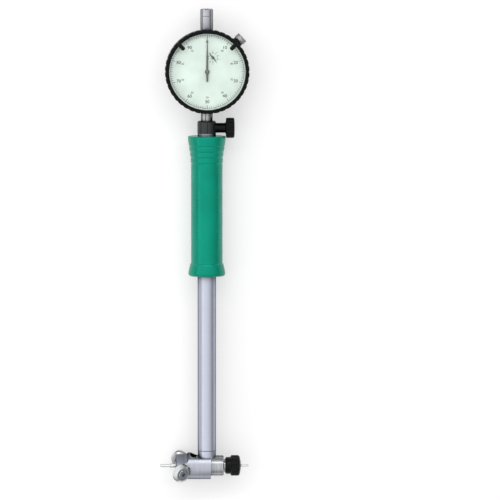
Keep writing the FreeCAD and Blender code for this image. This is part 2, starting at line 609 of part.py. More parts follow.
def movement():
    """Arbors of the gear train, and the plate on posts that carries them."""
    to_rack = math.degrees(math.atan2(0 - worth(RACK_Y), 0 - worth(RACK_X))) % 360
    to_counter = math.degrees(math.atan2(worth(COUNTER_Y), worth(COUNTER_X)))
    step = 360 / size("centre_pinion_teeth")
    pin = "arbor_diameter / 2"
    half = "rack_pinion_face / 2"
    wheel_low = f"({PLATE_BACK} + movement_plate_thickness + 0.3)"
    rack_end = f"{half} + case_face - 0.2"
    rack_module = "(rack_pitch / pi)"
    rack_wheel = turned("rack_wheel", [
        ("0", "0"), (f"{RACK_PINION_RADIUS} + tooth_head * {rack_module}", "0"),
        (f"{RACK_PINION_RADIUS} + tooth_head * {rack_module}", "rack_pinion_face"),
        (pin, "rack_pinion_face"), (pin, f"{half} + {wheel_low}"),
        ("gear_module * (large_wheel_teeth / 2 + tooth_head)", f"{half} + {wheel_low}"),
        ("gear_module * (large_wheel_teeth / 2 + tooth_head)", f"{half} + {wheel_low} + wheel_face"),
        (pin, f"{half} + {wheel_low} + wheel_face"), (pin, rack_end), ("0", rack_end)])
    wheel_turn = to_rack - 180
    toothed(rack_wheel, "large_wheel", "large_wheel_teeth", "gear_module", rack_end)
    toothed(rack_wheel, "small_wheel", "rack_pinion_teeth", rack_module, "rack_pinion_face",
            180 / size("rack_pinion_teeth") - wheel_turn)
    seat(rack_wheel, "rack_pinion", f"0 - {RACK_X}", f"dial_height - {RACK_Y}", f"0 - {half}",
         FreeCAD.Rotation(FreeCAD.Vector(0, 0, 1), wheel_turn))
    low = f"({PLATE_BACK} + 0.05)"
    disc_low = f"({wheel_low} - {low})"
    counter_top = f"({DIAL_FACE} + counter_pointer_gap + pointer_thickness - {low})"
    counter_wheel = turned("counter_arbor", [
        ("0", "0"), (pin, "0"), (pin, disc_low),
        ("gear_module * (counter_wheel_teeth / 2 + tooth_head)", disc_low),
        ("gear_module * (counter_wheel_teeth / 2 + tooth_head)", f"{disc_low} + wheel_face"),
        (pin, f"{disc_low} + wheel_face"), (pin, counter_top), ("0", counter_top)])
    toothed(counter_wheel, "counter_disc", "counter_wheel_teeth", "gear_module", counter_top)
    past = (to_counter - to_rack) % step / step
    counter_turn = to_counter + 180 + past * 360 / size("counter_wheel_teeth")
    seat(counter_wheel, "counter_wheel", COUNTER_X, f"dial_height + {COUNTER_Y}", low,
         FreeCAD.Rotation(FreeCAD.Vector(0, 0, 1), counter_turn))
    start = f"({PLATE_BACK} + 0.05)"
    pinion_low = f"({wheel_low} - 0.1)"
    pinion_top = f"{pinion_low} + centre_pinion_face - {start}"
    centre_top = f"{DIAL_FACE} + main_pointer_gap + pointer_thickness - {start}"
    radius = "gear_module * (centre_pinion_teeth / 2 + tooth_head)"
    centre = turned("centre_arbor", [
        ("0", "0"), (pin, "0"), (pin, f"{pinion_low} - {start}"), (radius, f"{pinion_low} - {start}"),
        (radius, pinion_top), (pin, pinion_top), (pin, centre_top), ("0", centre_top)])
    toothed(centre, "centre_small_wheel", "centre_pinion_teeth", "gear_module", pinion_top)
    seat(centre, "centre_pinion", "0", "dial_height", start,
         FreeCAD.Rotation(FreeCAD.Vector(0, 0, 1), to_rack + step / 2))
    post = "movement_post_diameter"
    sheet_metal = block("movement_sheet", f"2 * movement_half_width + {post}",
                        f"{COUNTER_Y} + {RACK_Y} + {post}",
                        "movement_plate_thickness", f"0 - movement_half_width - {post} / 2",
                        f"0 - {RACK_Y} - {post} / 2")
    posts = [sheet_metal]
    corners = (("0 - movement_half_width", COUNTER_Y), ("0 - movement_half_width", "movement_post_offset"),
               ("movement_half_width", f"0 - {RACK_Y}"), ("movement_half_width", "0 - movement_post_offset"))
    for index, (x, y) in enumerate(corners):
        posts.append(rod(f"movement_post_{index}", post, f"case_face - case_front - {PLATE_BACK}", x, y))
    holes = [rod(f"movement_{name}_hole", "arbor_diameter + 2 * running_gap",
                 "movement_plate_thickness", x, y)
             for name, x, y in (("centre", "0", "0"), ("counter", COUNTER_X, COUNTER_Y),
                                ("rack", f"0 - {RACK_X}", f"0 - {RACK_Y}"))]
    frame = cut("movement_frame", joined("movement_solid", *posts), *holes)
    seat(frame, "movement_plate", y="dial_height", z=PLATE_BACK)


def dial():
    """Fixed dial plate with the counter dial's recess, and the scale ring round it."""
    disc = turned("dial_disc", [
        ("0", "0"), ("dial_plate_diameter / 2", "0"), ("dial_plate_diameter / 2", "dial_plate_thickness"),
        ("0", "dial_plate_thickness")])
    holes = [rod("dial_centre_hole", "arbor_diameter + 4 * running_gap", "dial_plate_thickness"),
             rod("dial_counter_hole", "arbor_diameter + 4 * running_gap", "dial_plate_thickness",
                 COUNTER_X, COUNTER_Y),
             rod("dial_recess", "counter_dial_diameter", "counter_dial_depth", COUNTER_X, COUNTER_Y,
                 "dial_plate_thickness - counter_dial_depth")]
    seat(cut("dial_face", disc, *holes), "dial_plate", y="dial_height", z="case_face")
    inner = "dial_plate_diameter / 2 + dial_ring_gap"
    ring = turned("scale_disc", [
        (inner, "0"), ("crystal_diameter / 2", "0"), ("crystal_diameter / 2", "scale_ring_thickness"),
        (inner, "scale_ring_thickness")])
    seat(ring, "scale_ring", y="dial_height", z=f"{DIAL_FACE} - scale_ring_thickness")


def pointer(name, prefix, turn, x, y, thick_hub):
    """A tapered blade with a round hub, bored for its arbor."""
    half = f"{prefix}_width / 2"
    tip = "pointer_tip_width / 2"
    blade = plate(name + "_blade", [
        (f"0 - {prefix}_tail_width / 2", f"0 - {prefix}_tail"),
        (f"{prefix}_tail_width / 2", f"0 - {prefix}_tail"),
        (half, "0"),
        (tip, f"{prefix}_reach"), (f"0 - {tip}", f"{prefix}_reach"), (f"0 - {half}", "0")],
        "pointer_thickness")
    hub = rod(name + "_hub", f"{prefix}_hub", thick_hub)
    bore = rod(name + "_bore", "arbor_diameter", "pointer_thickness")
    piece = cut(name + "_solid", joined(name + "_blank", blade, hub), bore)
    rotation = FreeCAD.Rotation(FreeCAD.Vector(0, 0, 1), turn)
    seat(piece, name, x, y, f"{DIAL_FACE} + {prefix}_gap", rotation)


def bezel():
    """Gripped bezel: a turned ring with a groove for the limit markers and notches round its rim."""
    outer = "bezel_diameter / 2"
    groove_inner = "bezel_opening / 2 + 0.6"
    bore = "case_neck_diameter / 2 + running_gap"
    seat_bore = "crystal_diameter / 2 + seat_gap"
    ring = turned("bezel_ring", [
        (bore, "0"), (outer, "0"), (outer, "bezel_depth - bezel_bevel"),
        (f"{outer} - bezel_bevel", "bezel_depth"), (f"{groove_inner} + marker_groove", "bezel_depth"),
        (f"{groove_inner} + marker_groove", "bezel_depth - marker_groove_depth"),
        (groove_inner, "bezel_depth - marker_groove_depth"), (groove_inner, "bezel_depth"),
        ("bezel_opening / 2", "bezel_depth"), ("bezel_opening / 2", "bezel_depth - bezel_lip"),
        (seat_bore, "bezel_depth - bezel_lip"), (seat_bore, NECK_REACH), (bore, NECK_REACH)])
    notch = ring.newObject("Sketcher::SketchObject", "bezel_notch_outline")
    notch.AttachmentSupport = (origin_plane(ring, "XY_Plane"), [""])
    notch.MapMode = "FlatFace"
    centre = "bezel_diameter / 2 + bezel_notch_radius - bezel_notch_depth"
    notch.addGeometry(Part.Circle(FreeCAD.Vector(worth(centre), 0, 0), FreeCAD.Vector(0, 0, 1),
                                  size("bezel_notch_radius")))
    notch.addConstraint(Sketcher.Constraint("PointOnObject", 0, 3, -1))
    place = notch.addConstraint(Sketcher.Constraint("DistanceX", -1, 1, 0, 3, worth(centre)))
    notch.setExpression(f"Constraints[{place}]", formula(centre))
    across = notch.addConstraint(Sketcher.Constraint("Radius", 0, size("bezel_notch_radius")))
    notch.setExpression(f"Constraints[{across}]", formula("bezel_notch_radius"))
    pocket = ring.newObject("PartDesign::Pocket", "bezel_notch")
    pocket.Profile = (notch, [""])
    bind(pocket, Length="bezel_depth")
    pocket.Reversed = True
    doc.recompute()
    pattern = ring.newObject("PartDesign::PolarPattern", "bezel_grip")
    pattern.Originals = [pocket]
    pattern.Axis = (notch, ["N_Axis"])
    pattern.Angle = 360
    pattern.Occurrences = round(math.pi * size("bezel_diameter") / size("bezel_notch_pitch"))
    ring.Tip = pattern
    doc.recompute()
    seat(ring, "bezel", y="dial_height", z=BEZEL_BACK)
    glass = turned("crystal_disc", [
        ("0", "0"), ("crystal_diameter / 2", "0"), ("crystal_diameter / 2", "crystal_thickness"),
        ("0", "crystal_thickness")])
    seat(glass, "crystal", y="dial_height", z=f"{BEZEL_BACK} + {CRYSTAL_BACK}")


def limit_marker(name, angle):
    """A black marker: a tongue over the crystal with a foot in the bezel's groove."""
    groove_middle = "(bezel_opening / 2 + 0.6 + marker_groove / 2)"
    end = f"({groove_middle} + marker_groove / 2)"
    half = "marker_width / 2"
    tongue = plate(name + "_tongue", [
        (f"0 - {half}", end), (f"0 - {half}", "marker_tip + 0.6"), (f"0 - {half} + 0.6", "marker_tip"),
        (f"{half} - 0.6", "marker_tip"), (half, "marker_tip + 0.6"), (half, end)], "marker_thickness")
    foot = block(name + "_foot", "marker_width", "marker_groove - 0.4", "marker_groove_depth",
                 f"0 - {half}", f"{groove_middle} - marker_groove / 2 + 0.2", "0 - marker_groove_depth")
    rotation = FreeCAD.Rotation(FreeCAD.Vector(0, 0, 1), angle)
    seat(joined(name + "_solid", tongue, foot), name, y="dial_height",
         z=f"{BEZEL_BACK} + bezel_depth + face_gap",
         turn=rotation)


def bezel_clamp_screw():
    """Knurled screw in the housing's lug."""
    start = "(case_diameter / 2 - case_wall - 0.4)"
    shank = f"(lug_reach + face_gap - {start})"
    head = "bezel_screw_diameter / 2"
    screw = turned("bezel_screw", [
        ("0", "0"), ("bezel_screw_thread / 2", "0"), ("bezel_screw_thread / 2", shank),
        (f"{head} - bezel_screw_bevel", shank), (head, f"{shank} + bezel_screw_bevel"),
        (head, f"{shank} + bezel_screw_height - bezel_screw_bevel"),
        (f"{head} - bezel_screw_bevel", f"{shank} + bezel_screw_height"),
        ("0", f"{shank} + bezel_screw_height")])
    rotation = FreeCAD.Rotation(FreeCAD.Vector(0, 0, 1), size("lug_angle") - 90).multiply(TURNS["+Y"])
    seat(screw, "bezel_clamp_screw", f"{start} * cos(lug_angle * 1 deg)",
         f"dial_height + {start} * sin(lug_angle * 1 deg)", "0 - lug_level", rotation)


def clamp():
    """Slotted clamp collar on the tube's end, and its black screw."""
    bore = "stem_diameter / 2 + seat_gap"
    outer = "clamp_diameter / 2"
    tall = "(clamp_spigot_length + clamp_height)"
    ring = turned("clamp_ring", [
        (bore, "0"), ("tube_bore / 2 - seat_gap", "0"), ("tube_bore / 2 - seat_gap", "clamp_spigot_length"),
        (outer, "clamp_spigot_length"), (outer, f"{tall} - clamp_bevel"),
        (f"{outer} - clamp_bevel", tall), (bore, tall)])
    slit = block("clamp_slit_cut", "clamp_slit", "clamp_diameter", "clamp_height",
                 "0 - clamp_slit / 2", "0 - clamp_diameter", "clamp_spigot_length")
    level = "clamp_spigot_length + clamp_screw_height"
    spot = rod("clamp_spotface", "clamp_shank_diameter + 0.6", "clamp_diameter / 2",
               "clamp_screw_seat", "0", level, "+X")
    hole = rod("clamp_thread_hole", "clamp_thread_diameter + 2 * running_gap", "clamp_diameter / 2",
               "0", "0", level, "+X")
    seat(cut("clamp_collar_solid", ring, slit, spot, hole), "clamp_collar",
         y="tube_top - clamp_spigot_length", turn="+Y")
    start = "(stem_diameter / 2 + face_gap)"
    shank = "clamp_shank_diameter / 2"
    knob = "clamp_knob_diameter / 2"
    face = f"(clamp_screw_seat + face_gap - {start})"
    low = f"(clamp_knob_start - {start})"
    high = f"({low} + clamp_knob_length)"
    screw = turned("clamp_screw_body", [
        ("0", "0"), ("clamp_thread_diameter / 2", "0"), ("clamp_thread_diameter / 2", face), (shank, face),
        (shank, f"{low} - clamp_knob_neck"), (f"{shank} + clamp_knob_neck", low),
        (f"{knob} - clamp_knob_bevel", low), (knob, f"{low} + clamp_knob_bevel"),
        (knob, f"{high} - clamp_knob_bevel"), (f"{knob} - clamp_knob_bevel", high), ("0", high)])
    seat(screw, "clamp_screw", start, CLAMP_AXIS, turn="+X")


def tube_and_rod():
    """Long tube with the push rod and its two guide bushes."""
    long = "tube_top - tube_bottom"
    tube = turned("tube_body", [
        ("tube_bore / 2", "0"), ("tube_diameter / 2", "0"), ("tube_diameter / 2", f"{long} - 0.3"),
        ("tube_diameter / 2 - 0.3", long), ("tube_bore / 2", long)])
    seat(tube, "tube", y="tube_bottom", turn="+Y")
    tall = f"spindle_bottom - crank_touch - {ROD_BOTTOM}"
    push = turned("rod_body", [
        ("0", "0"), ("rod_nose_diameter / 2", "0"), ("rod_nose_diameter / 2", "rod_nose_length"),
        ("rod_diameter / 2", "rod_nose_length + 0.7"), ("rod_diameter / 2", f"{tall} - 0.4"),
        ("rod_diameter / 2 - 0.4", tall), ("0", tall)])
    seat(push, "push_rod", y=ROD_BOTTOM, turn="+Y")
    for name, place in (("rod_bush_lower", "rod_bush_low"), ("rod_bush_upper", "rod_bush_high")):
        bush = turned(name + "_ring", [
            ("rod_diameter / 2 + running_gap", "0"), ("tube_bore / 2 - seat_gap", "0"),
            ("tube_bore / 2 - seat_gap", "rod_bush_length"),
            ("rod_diameter / 2 + running_gap", "rod_bush_length")])
        seat(bush, name, y=place, turn="+Y")


def grip():
    """Moulded handle: flange, taper with ring grooves, straight part and lower flare."""
    tall = "grip_length"
    bore = "tube_diameter / 2 + seat_gap"
    body = "grip_diameter / 2"
    flange = "grip_flange_diameter / 2"
    flare = "grip_flare_diameter / 2"
    taper_top = f"({tall} - grip_flange_height)"
    taper_low = f"({taper_top} - grip_taper_height)"
    drop = "(grip_neck_diameter - grip_diameter) / 2 / grip_taper_height"
    outline = [
        (bore, "0"), (flare, "0"), (flare, "grip_flare_height * 0.35"),
        (f"{body} + grip_flare_step", "grip_flare_height"), (body, "grip_flare_height"), (body, taper_low)]
    count = round(size("grip_grooves"))
    for index in range(count):
        middle = f"({taper_top} - grip_groove_first - grip_groove_pitch * {count - 1 - index})"
        for offset, depth in (("0 - grip_groove_width / 2", "0"), ("0", "grip_groove_depth"),
                              ("grip_groove_width / 2", "0")):
            level = f"({middle} + {offset})"
            outline.append((f"{body} + {drop} * ({level} - {taper_low}) - {depth}", level))
        if index < count - 1:
            level = f"({middle} + grip_groove_pitch / 2)"
            outline.append((f"{body} + {drop} * ({level} - {taper_low}) + grip_band_swell", level))
    outline += [("grip_neck_diameter / 2", taper_top),
                (flange, f"{taper_top} + 0.6"), (flange, f"{tall} - 0.4"),
                (f"{flange} - 0.4", tall), (bore, tall)]
    handle = rounded(turned("grip_body", outline), "grip_corner", [(flare, "0")])
    seat(handle, "grip", y="grip_bottom", turn="+Y")


def head_collar():
    """Turned collar between the tube and the barrel, bored for the push rod."""
    bore = "rod_diameter / 2 + 0.3"
    outer = "head_collar_diameter / 2"
    spigot = "tube_bore / 2 - seat_gap"
    shoulder = "(tube_bottom - collar_seat - collar_groove)"
    ring = turned("collar_ring", [
        (bore, "0"), (outer, "0"), (outer, shoulder), ("collar_groove_diameter / 2", shoulder),
        ("collar_groove_diameter / 2", "tube_bottom - collar_seat"), (spigot, "tube_bottom - collar_seat"),
        (spigot, "tube_bottom - collar_seat + collar_spigot_length"),
        (bore, "tube_bottom - collar_seat + collar_spigot_length")])
    seat(ring, "head_collar", y="collar_seat", turn="+Y")


def head_body():
    """Barrel across the tube: plunger guide, crank chamber, rod hole, anvil bore and collar seat."""
    barrel = turned("barrel_body", [
        ("0", "0"), ("nose_diameter / 2", "0"), ("nose_diameter / 2", "nose_length"),
        ("barrel_diameter / 2", "nose_length"),
        ("barrel_diameter / 2", "nose_length + barrel_left + barrel_right - barrel_bevel"),
        ("barrel_diameter / 2 - barrel_bevel", "nose_length + barrel_left + barrel_right"),
        ("0", "nose_length + barrel_left + barrel_right")])
    put(barrel, "0 - barrel_left - nose_length", turn="+X")
    chamber_left = f"({PLUNGER_BACK} - gauge_travel - 0.2)"
    guide = rod("plunger_guide", "plunger_diameter + 2 * running_gap",
                f"barrel_left + nose_length - {chamber_left}", "0 - barrel_left - nose_length", turn="+X")
    chamber = block("crank_chamber", f"{chamber_left} + 0.01 + crank_tip_diameter / 2 + 0.4",
                    "crank_tip_diameter / 2 + 0.5 + collar_seat", "crank_thickness + 0.4",
                    f"0 - {chamber_left} - 0.01", "0 - crank_tip_diameter / 2 - 0.5",
                    "0 - crank_thickness / 2 - 0.2")
    rod_hole = rod("rod_hole", "rod_diameter + 0.6", "collar_seat", y="crank_tip_diameter / 2", turn="+Y")
    collar = rod("collar_spotface", "head_collar_diameter + 4 * seat_gap", "barrel_diameter",
                 y="collar_seat", turn="+Y")
    pin_hole = rod("pin_hole", "crank_pin_diameter + 2 * seat_gap", "barrel_diameter", CRANK_X, "crank_arm",
                   "0 - barrel_diameter / 2")
    anvil_bore = rod("anvil_bore", "anvil_diameter + 2 * seat_gap", "barrel_right", "anvil_root", turn="+X")
    rotation = FreeCAD.Rotation(FreeCAD.Vector(1, 0, 0), size("bridge_turn")).multiply(TURNS["-Y"])
    guide_hole = rod("guide_screw_hole", "guide_screw_diameter + 2 * seat_gap", "barrel_diameter / 2",
                     "0 - guide_screw_place", "0 - guide_screw_root * cos(bridge_turn * 1 deg)",
                     "0 - guide_screw_root * sin(bridge_turn * 1 deg)", rotation)
    body = cut("head_solid", barrel, guide, chamber, rod_hole, collar, pin_hole, anvil_bore, guide_hole)
    seat(body, "head_body")


def crank():
    """Bell crank on its pin: two equal arms with rounded ends."""
    half = "crank_arm_width / 2"
    thick = "crank_thickness"
    hub = rod("crank_hub", "crank_hub_diameter", thick)
    pieces = [hub]
    for name, x, y in (("down", "0", "0 - crank_arm"), ("along", "crank_arm", "0")):
        pieces.append(rod(f"crank_tip_{name}", "crank_tip_diameter", thick, x, y))
    pieces.append(block("crank_arm_down", f"2 * {half}", "crank_arm", thick, f"0 - {half}", "0 - crank_arm"))
    pieces.append(block("crank_arm_along", "crank_arm", f"2 * {half}", thick, "0", f"0 - {half}"))
    bore = rod("crank_bore", "crank_pin_diameter + 2 * running_gap", thick)
    rotation = FreeCAD.Rotation(FreeCAD.Vector(0, 0, 1), 0 - size("crank_rest_turn"))
    seat(cut("crank_solid", joined("crank_blank", *pieces), bore), "bell_crank", CRANK_X, "crank_arm",
         "0 - crank_thickness / 2", rotation)
    half_span = "sqrt((barrel_diameter / 2)^2 - crank_arm^2) - 0.3"
    pin = rod("crank_pin_body", "crank_pin_diameter", f"2 * ({half_span})")
    seat(pin, "crank_pin", CRANK_X, "crank_arm", f"0 - ({half_span})")


def contact():
    """Stepped plunger and the hard contact pin in its front face."""
    shank = "contact_shank_diameter / 2"
    tall = f"(plunger_end - {PLUNGER_NOSE_END})"
    front = "(plunger_end - plunger_step)"
    back = f"(plunger_end - {PLUNGER_BACK})"
    plunger = turned("plunger_body", [
        (shank, "0"), ("plunger_front_diameter / 2", "0"), ("plunger_front_diameter / 2", front),
        ("plunger_diameter / 2 - 0.4", front), ("plunger_diameter / 2", f"{front} + 0.4"),
        ("plunger_diameter / 2", back), ("plunger_nose_diameter / 2", back),
        ("plunger_nose_diameter / 2", tall), ("0", tall), ("0", "contact_shank_length"),
        (shank, "contact_shank_length")])
    seat(plunger, "contact_plunger", "0 - plunger_end", turn="+X")
    out = "(contact_end - plunger_end)"
    tip = "contact_diameter / 2"
    pin = turned("contact_body", [
        ("0", "0"), (tip, "0"), (tip, out), (shank, out), (shank, f"{out} + contact_shank_length"),
        ("0", f"{out} + contact_shank_length")])
    pin = rounded(pin, "contact_diameter * 0.45", [(tip, "0")])
    seat(pin, "contact_pin", "0 - contact_end", turn="+X")


def tilted(side):
    """Rotation from a wheel's own axis to the bridge's frame, for its front or rear side."""
    return FreeCAD.Rotation(FreeCAD.Vector(0, 1, 0), 90 - side * (90 - size("wheel_tilt")))


def beside(side, offset):
    """Place on a wheel's axis, in the bridge's frame, at this distance outside the wheel's centre."""
    x = f"({offset}) * sin(wheel_tilt * 1 deg) - wheel_place"
    z = f"{side} * (wheel_spread + ({offset}) * cos(wheel_tilt * 1 deg))"
    return x, z


def bridge():
    """Bridge: a sleeve on the barrel with a milled flat, a slot past the collar and two wheel seats."""
    bore = "barrel_diameter / 2 + running_gap"
    outer = "bridge_diameter / 2"
    hole = "plunger_diameter / 2 + 0.2"
    deep = "(bridge_left - bridge_cavity)"
    barrel_stop = "(bridge_left - barrel_left - bridge_travel - 2 * face_gap)"
    sleeve = turned("bridge_sleeve", [
        (hole, "0"), (f"{outer} - bridge_bevel", "0"), (outer, "bridge_bevel"),
        (outer, "bridge_left + bridge_right"), (bore, "bridge_left + bridge_right"), (bore, barrel_stop),
        ("spring_cavity_diameter / 2", barrel_stop), ("spring_cavity_diameter / 2", deep), (hole, deep)])
    put(sleeve, "0 - bridge_left", turn="+X")
    bosses = []
    seats = []
    for name, side in (("front", 1), ("rear", -1)):
        inner = "0 - wheel_thickness / 2 - face_gap"
        x, z = beside(side, f"{inner} - 3.0")
        bosses.append(rod(f"bridge_boss_{name}", "axle_boss_diameter",
                          "3.0", x, "0 - wheel_drop", z, tilted(side)))
        x, z = beside(side, "0 - wheel_thickness / 2 - wheel_room")
        ring = turned(f"bridge_seat_{name}", [
            ("0", "0"), ("wheel_diameter / 2 + wheel_room", "0"),
            ("wheel_diameter / 2 + wheel_room", "wheel_diameter"), ("0", "wheel_diameter")])
        seats.append(put(ring, x, "0 - wheel_drop", z, tilted(side)))
    flat = doc.addObject("PartDesign::Body", "bridge_flat_cutter")
    sketch = flat.newObject("Sketcher::SketchObject", "bridge_flat_outline")
    sketch.AttachmentSupport = (origin_plane(flat, "XY_Plane"), [""])
    sketch.MapMode = "FlatFace"
    right, start, low = worth("bridge_right + 1"), 0 - size("bridge_flat_start"), size("bridge_flat")
    radius, high = size("bridge_flat_radius"), worth("bridge_flat + bridge_flat_radius")
    corners = [FreeCAD.Vector(*place) for place in (
        (right, low, 0), (right, high, 0), (start - radius, high, 0), (start, low, 0))]
    sketch.addGeometry(Part.LineSegment(corners[0], corners[1]))
    sketch.addGeometry(Part.LineSegment(corners[1], corners[2]))
    middle = FreeCAD.Vector(start - radius * math.sin(math.pi / 4), high - radius * math.cos(math.pi / 4), 0)
    sketch.addGeometry(Part.Arc(corners[2], middle, corners[3]))
    sketch.addGeometry(Part.LineSegment(corners[3], corners[0]))
    for first, second in (((0, 2), (1, 1)), ((1, 2), (2, 1)), ((2, 2), (3, 1)), ((3, 2), (0, 1))):
        sketch.addConstraint(Sketcher.Constraint("Coincident", *first, *second))
    for geometry, point, kind, text in (
            (0, 1, "DistanceX", "bridge_right + 1"), (0, 1, "DistanceY", "bridge_flat"),
            (1, 1, "DistanceX", "bridge_right + 1"), (1, 1, "DistanceY", "bridge_flat + bridge_flat_radius"),
            (1, 2, "DistanceX", "0 - bridge_flat_start - bridge_flat_radius"),
            (1, 2, "DistanceY", "bridge_flat + bridge_flat_radius"),
            (3, 1, "DistanceX", "0 - bridge_flat_start"), (3, 1, "DistanceY", "bridge_flat")):
        place = sketch.addConstraint(Sketcher.Constraint(kind, -1, 1, geometry, point, worth(text)))
        sketch.setExpression(f"Constraints[{place}]", formula(text))
    place = sketch.addConstraint(Sketcher.Constraint("Radius", 2, radius))
    sketch.setExpression(f"Constraints[{place}]", formula("bridge_flat_radius"))
    pad = flat.newObject("PartDesign::Pad", "bridge_flat_pad")
    pad.Profile = (sketch, [""])
    bind(pad, Length="bridge_diameter * 2")
    pad.Midplane = True
    doc.recompute()
    half = "(head_collar_diameter / 2 + bridge_slot_side)"
    away = FreeCAD.Rotation(FreeCAD.Vector(1, 0, 0), 0 - size("bridge_turn"))
    slot = block("bridge_slot", "bridge_slot_centre + bridge_right + 1", "bridge_diameter", f"2 * {half}",
                 "0 - bridge_slot_centre",
                 f"0 - {half} * sin(bridge_turn * 1 deg)", f"0 - {half} * cos(bridge_turn * 1 deg)", away)
    slot_end = rod("bridge_slot_end", f"2 * {half}", "bridge_diameter", "0 - bridge_slot_centre",
                   turn=away.multiply(TURNS["+Y"]))
    guide_left = "(guide_screw_place + guide_screw_diameter / 2 + running_gap + bridge_travel)"
    guide_right = "(guide_screw_diameter / 2 + running_gap - guide_screw_place)"
    half_guide = "(guide_screw_diameter / 2 + running_gap)"
    guide = block("bridge_guide_slot", f"{guide_left} + {guide_right}", "bridge_diameter / 2",
                  f"2 * {half_guide}",
                  f"0 - {guide_left}", "0 - bridge_diameter / 2 - 1", f"0 - {half_guide}")
    holes = []
    for name, side in (("front", 1), ("rear", -1)):
        x, z = beside(side, "0 - wheel_thickness / 2 - face_gap - axle_thread_length - 0.3")
        holes.append(rod(f"bridge_thread_{name}", "axle_thread + 2 * seat_gap", "axle_thread_length + 0.3",
                         x, "0 - wheel_drop", z, tilted(side)))
    shell = cut("bridge_shell", sleeve, flat, slot, slot_end, guide, *seats)
    filled = joined("bridge_with_bosses", shell, *bosses)
    inside = rod("bridge_plunger_hole", f"2 * ({hole})", f"{deep} + 2", "0 - bridge_left - 1", turn="+X")
    solid = cut("bridge_solid", filled, inside, *holes)
    rotation = FreeCAD.Rotation(FreeCAD.Vector(1, 0, 0), size("bridge_turn"))
    seat(solid, "bridge", turn=rotation)


def about_bridge(z):
    """Height and depth of a point on a wheel's axis, once the bridge is turned about the measuring axis."""
    return (f"0 - wheel_drop * cos(bridge_turn * 1 deg) - ({z}) * sin(bridge_turn * 1 deg)",
            f"({z}) * cos(bridge_turn * 1 deg) - wheel_drop * sin(bridge_turn * 1 deg)")


def wheels():
    """Bevelled wheels on shoulder screws, their axes tilted to lie against a bore's wall."""
    turn = FreeCAD.Rotation(FreeCAD.Vector(1, 0, 0), size("bridge_turn"))
    rim = "wheel_diameter / 2"
    bore = "axle_diameter / 2 + running_gap"
    for name, side in (("front", 1), ("rear", -1)):
        rotation = turn.multiply(tilted(side))
        wheel = turned(f"wheel_{name}_body", [
            (bore, "0"), (f"{rim} - wheel_bevel_inset", "0"), (rim, "wheel_bevel"),
            (rim, "wheel_thickness - wheel_bevel"), (f"{rim} - wheel_bevel_inset", "wheel_thickness"),
            ("wheel_recess_diameter / 2", "wheel_thickness"),
            ("wheel_recess_diameter / 2", "wheel_thickness - wheel_recess_depth"),
            (bore, "wheel_thickness - wheel_recess_depth")])
        x, z = beside(side, "0 - wheel_thickness / 2")
        seat(wheel, f"wheel_{name}", x, *about_bridge(z), rotation)
        shoulder = "(axle_thread_length + wheel_thickness - wheel_recess_depth + 2 * face_gap)"
        head = "axle_head_diameter / 2"
        screw = turned(f"axle_{name}_body", [
            ("0", "0"), ("axle_thread / 2", "0"), ("axle_thread / 2", "axle_thread_length"),
            ("axle_diameter / 2", "axle_thread_length"), ("axle_diameter / 2", shoulder), (head, shoulder),
            (head, f"{shoulder} + axle_head_height - 0.3"),
            (f"{head} - 0.3", f"{shoulder} + axle_head_height"),
            ("axle_socket_diameter / 2", f"{shoulder} + axle_head_height"),
            ("axle_socket_diameter / 2", f"{shoulder} + 0.2"), ("0", f"{shoulder} + 0.2")])
        x, z = beside(side, "0 - wheel_thickness / 2 - face_gap - axle_thread_length")
        seat(screw, f"axle_screw_{name}", x, *about_bridge(z), rotation)


def bridge_spring():
    """Coil spring between the barrel's shoulder and the bridge."""
    coil = doc.addObject("Part::Helix", "spring_line")
    tall = "(bridge_cavity - barrel_left - 2 * face_gap - spring_wire)"
    bind(coil, Radius="spring_radius", Height=tall, Pitch=f"{tall} / spring_turns")
    wire = doc.addObject("Part::RegularPolygon", "spring_section")
    wire.Polygon = 8
    bind(wire, Circumradius="spring_wire / 2 * 1.03")
    put(wire, "spring_radius", turn=FreeCAD.Rotation(FreeCAD.Vector(1, 0, 0), 90))
    sweep = doc.addObject("Part::Sweep", "spring_sweep")
    sweep.Sections = [wire]
    sweep.Spine = (coil, [])
    sweep.Solid = True
    sweep.Frenet = True
    seat(sweep, "bridge_spring", "0 - bridge_cavity + face_gap + spring_wire / 2", turn="+X")


def guide_screw():
    """Screw in the barrel that runs in the bridge's slot and keeps the bridge from turning."""
    reach = "guide_screw_reach - guide_screw_root"
    radius = "guide_screw_diameter / 2"
    screw = turned("guide_screw_body", [
        ("0", "0"), (radius, "0"), (radius, f"{reach} - 0.3"), (f"{radius} - 0.3", reach), ("0", reach)])
    rotation = FreeCAD.Rotation(FreeCAD.Vector(1, 0, 0), size("bridge_turn")).multiply(TURNS["-Y"])
    seat(screw, "guide_screw", "0 - guide_screw_place", "0 - guide_screw_root * cos(bridge_turn * 1 deg)",
         "0 - guide_screw_root * sin(bridge_turn * 1 deg)", rotation)


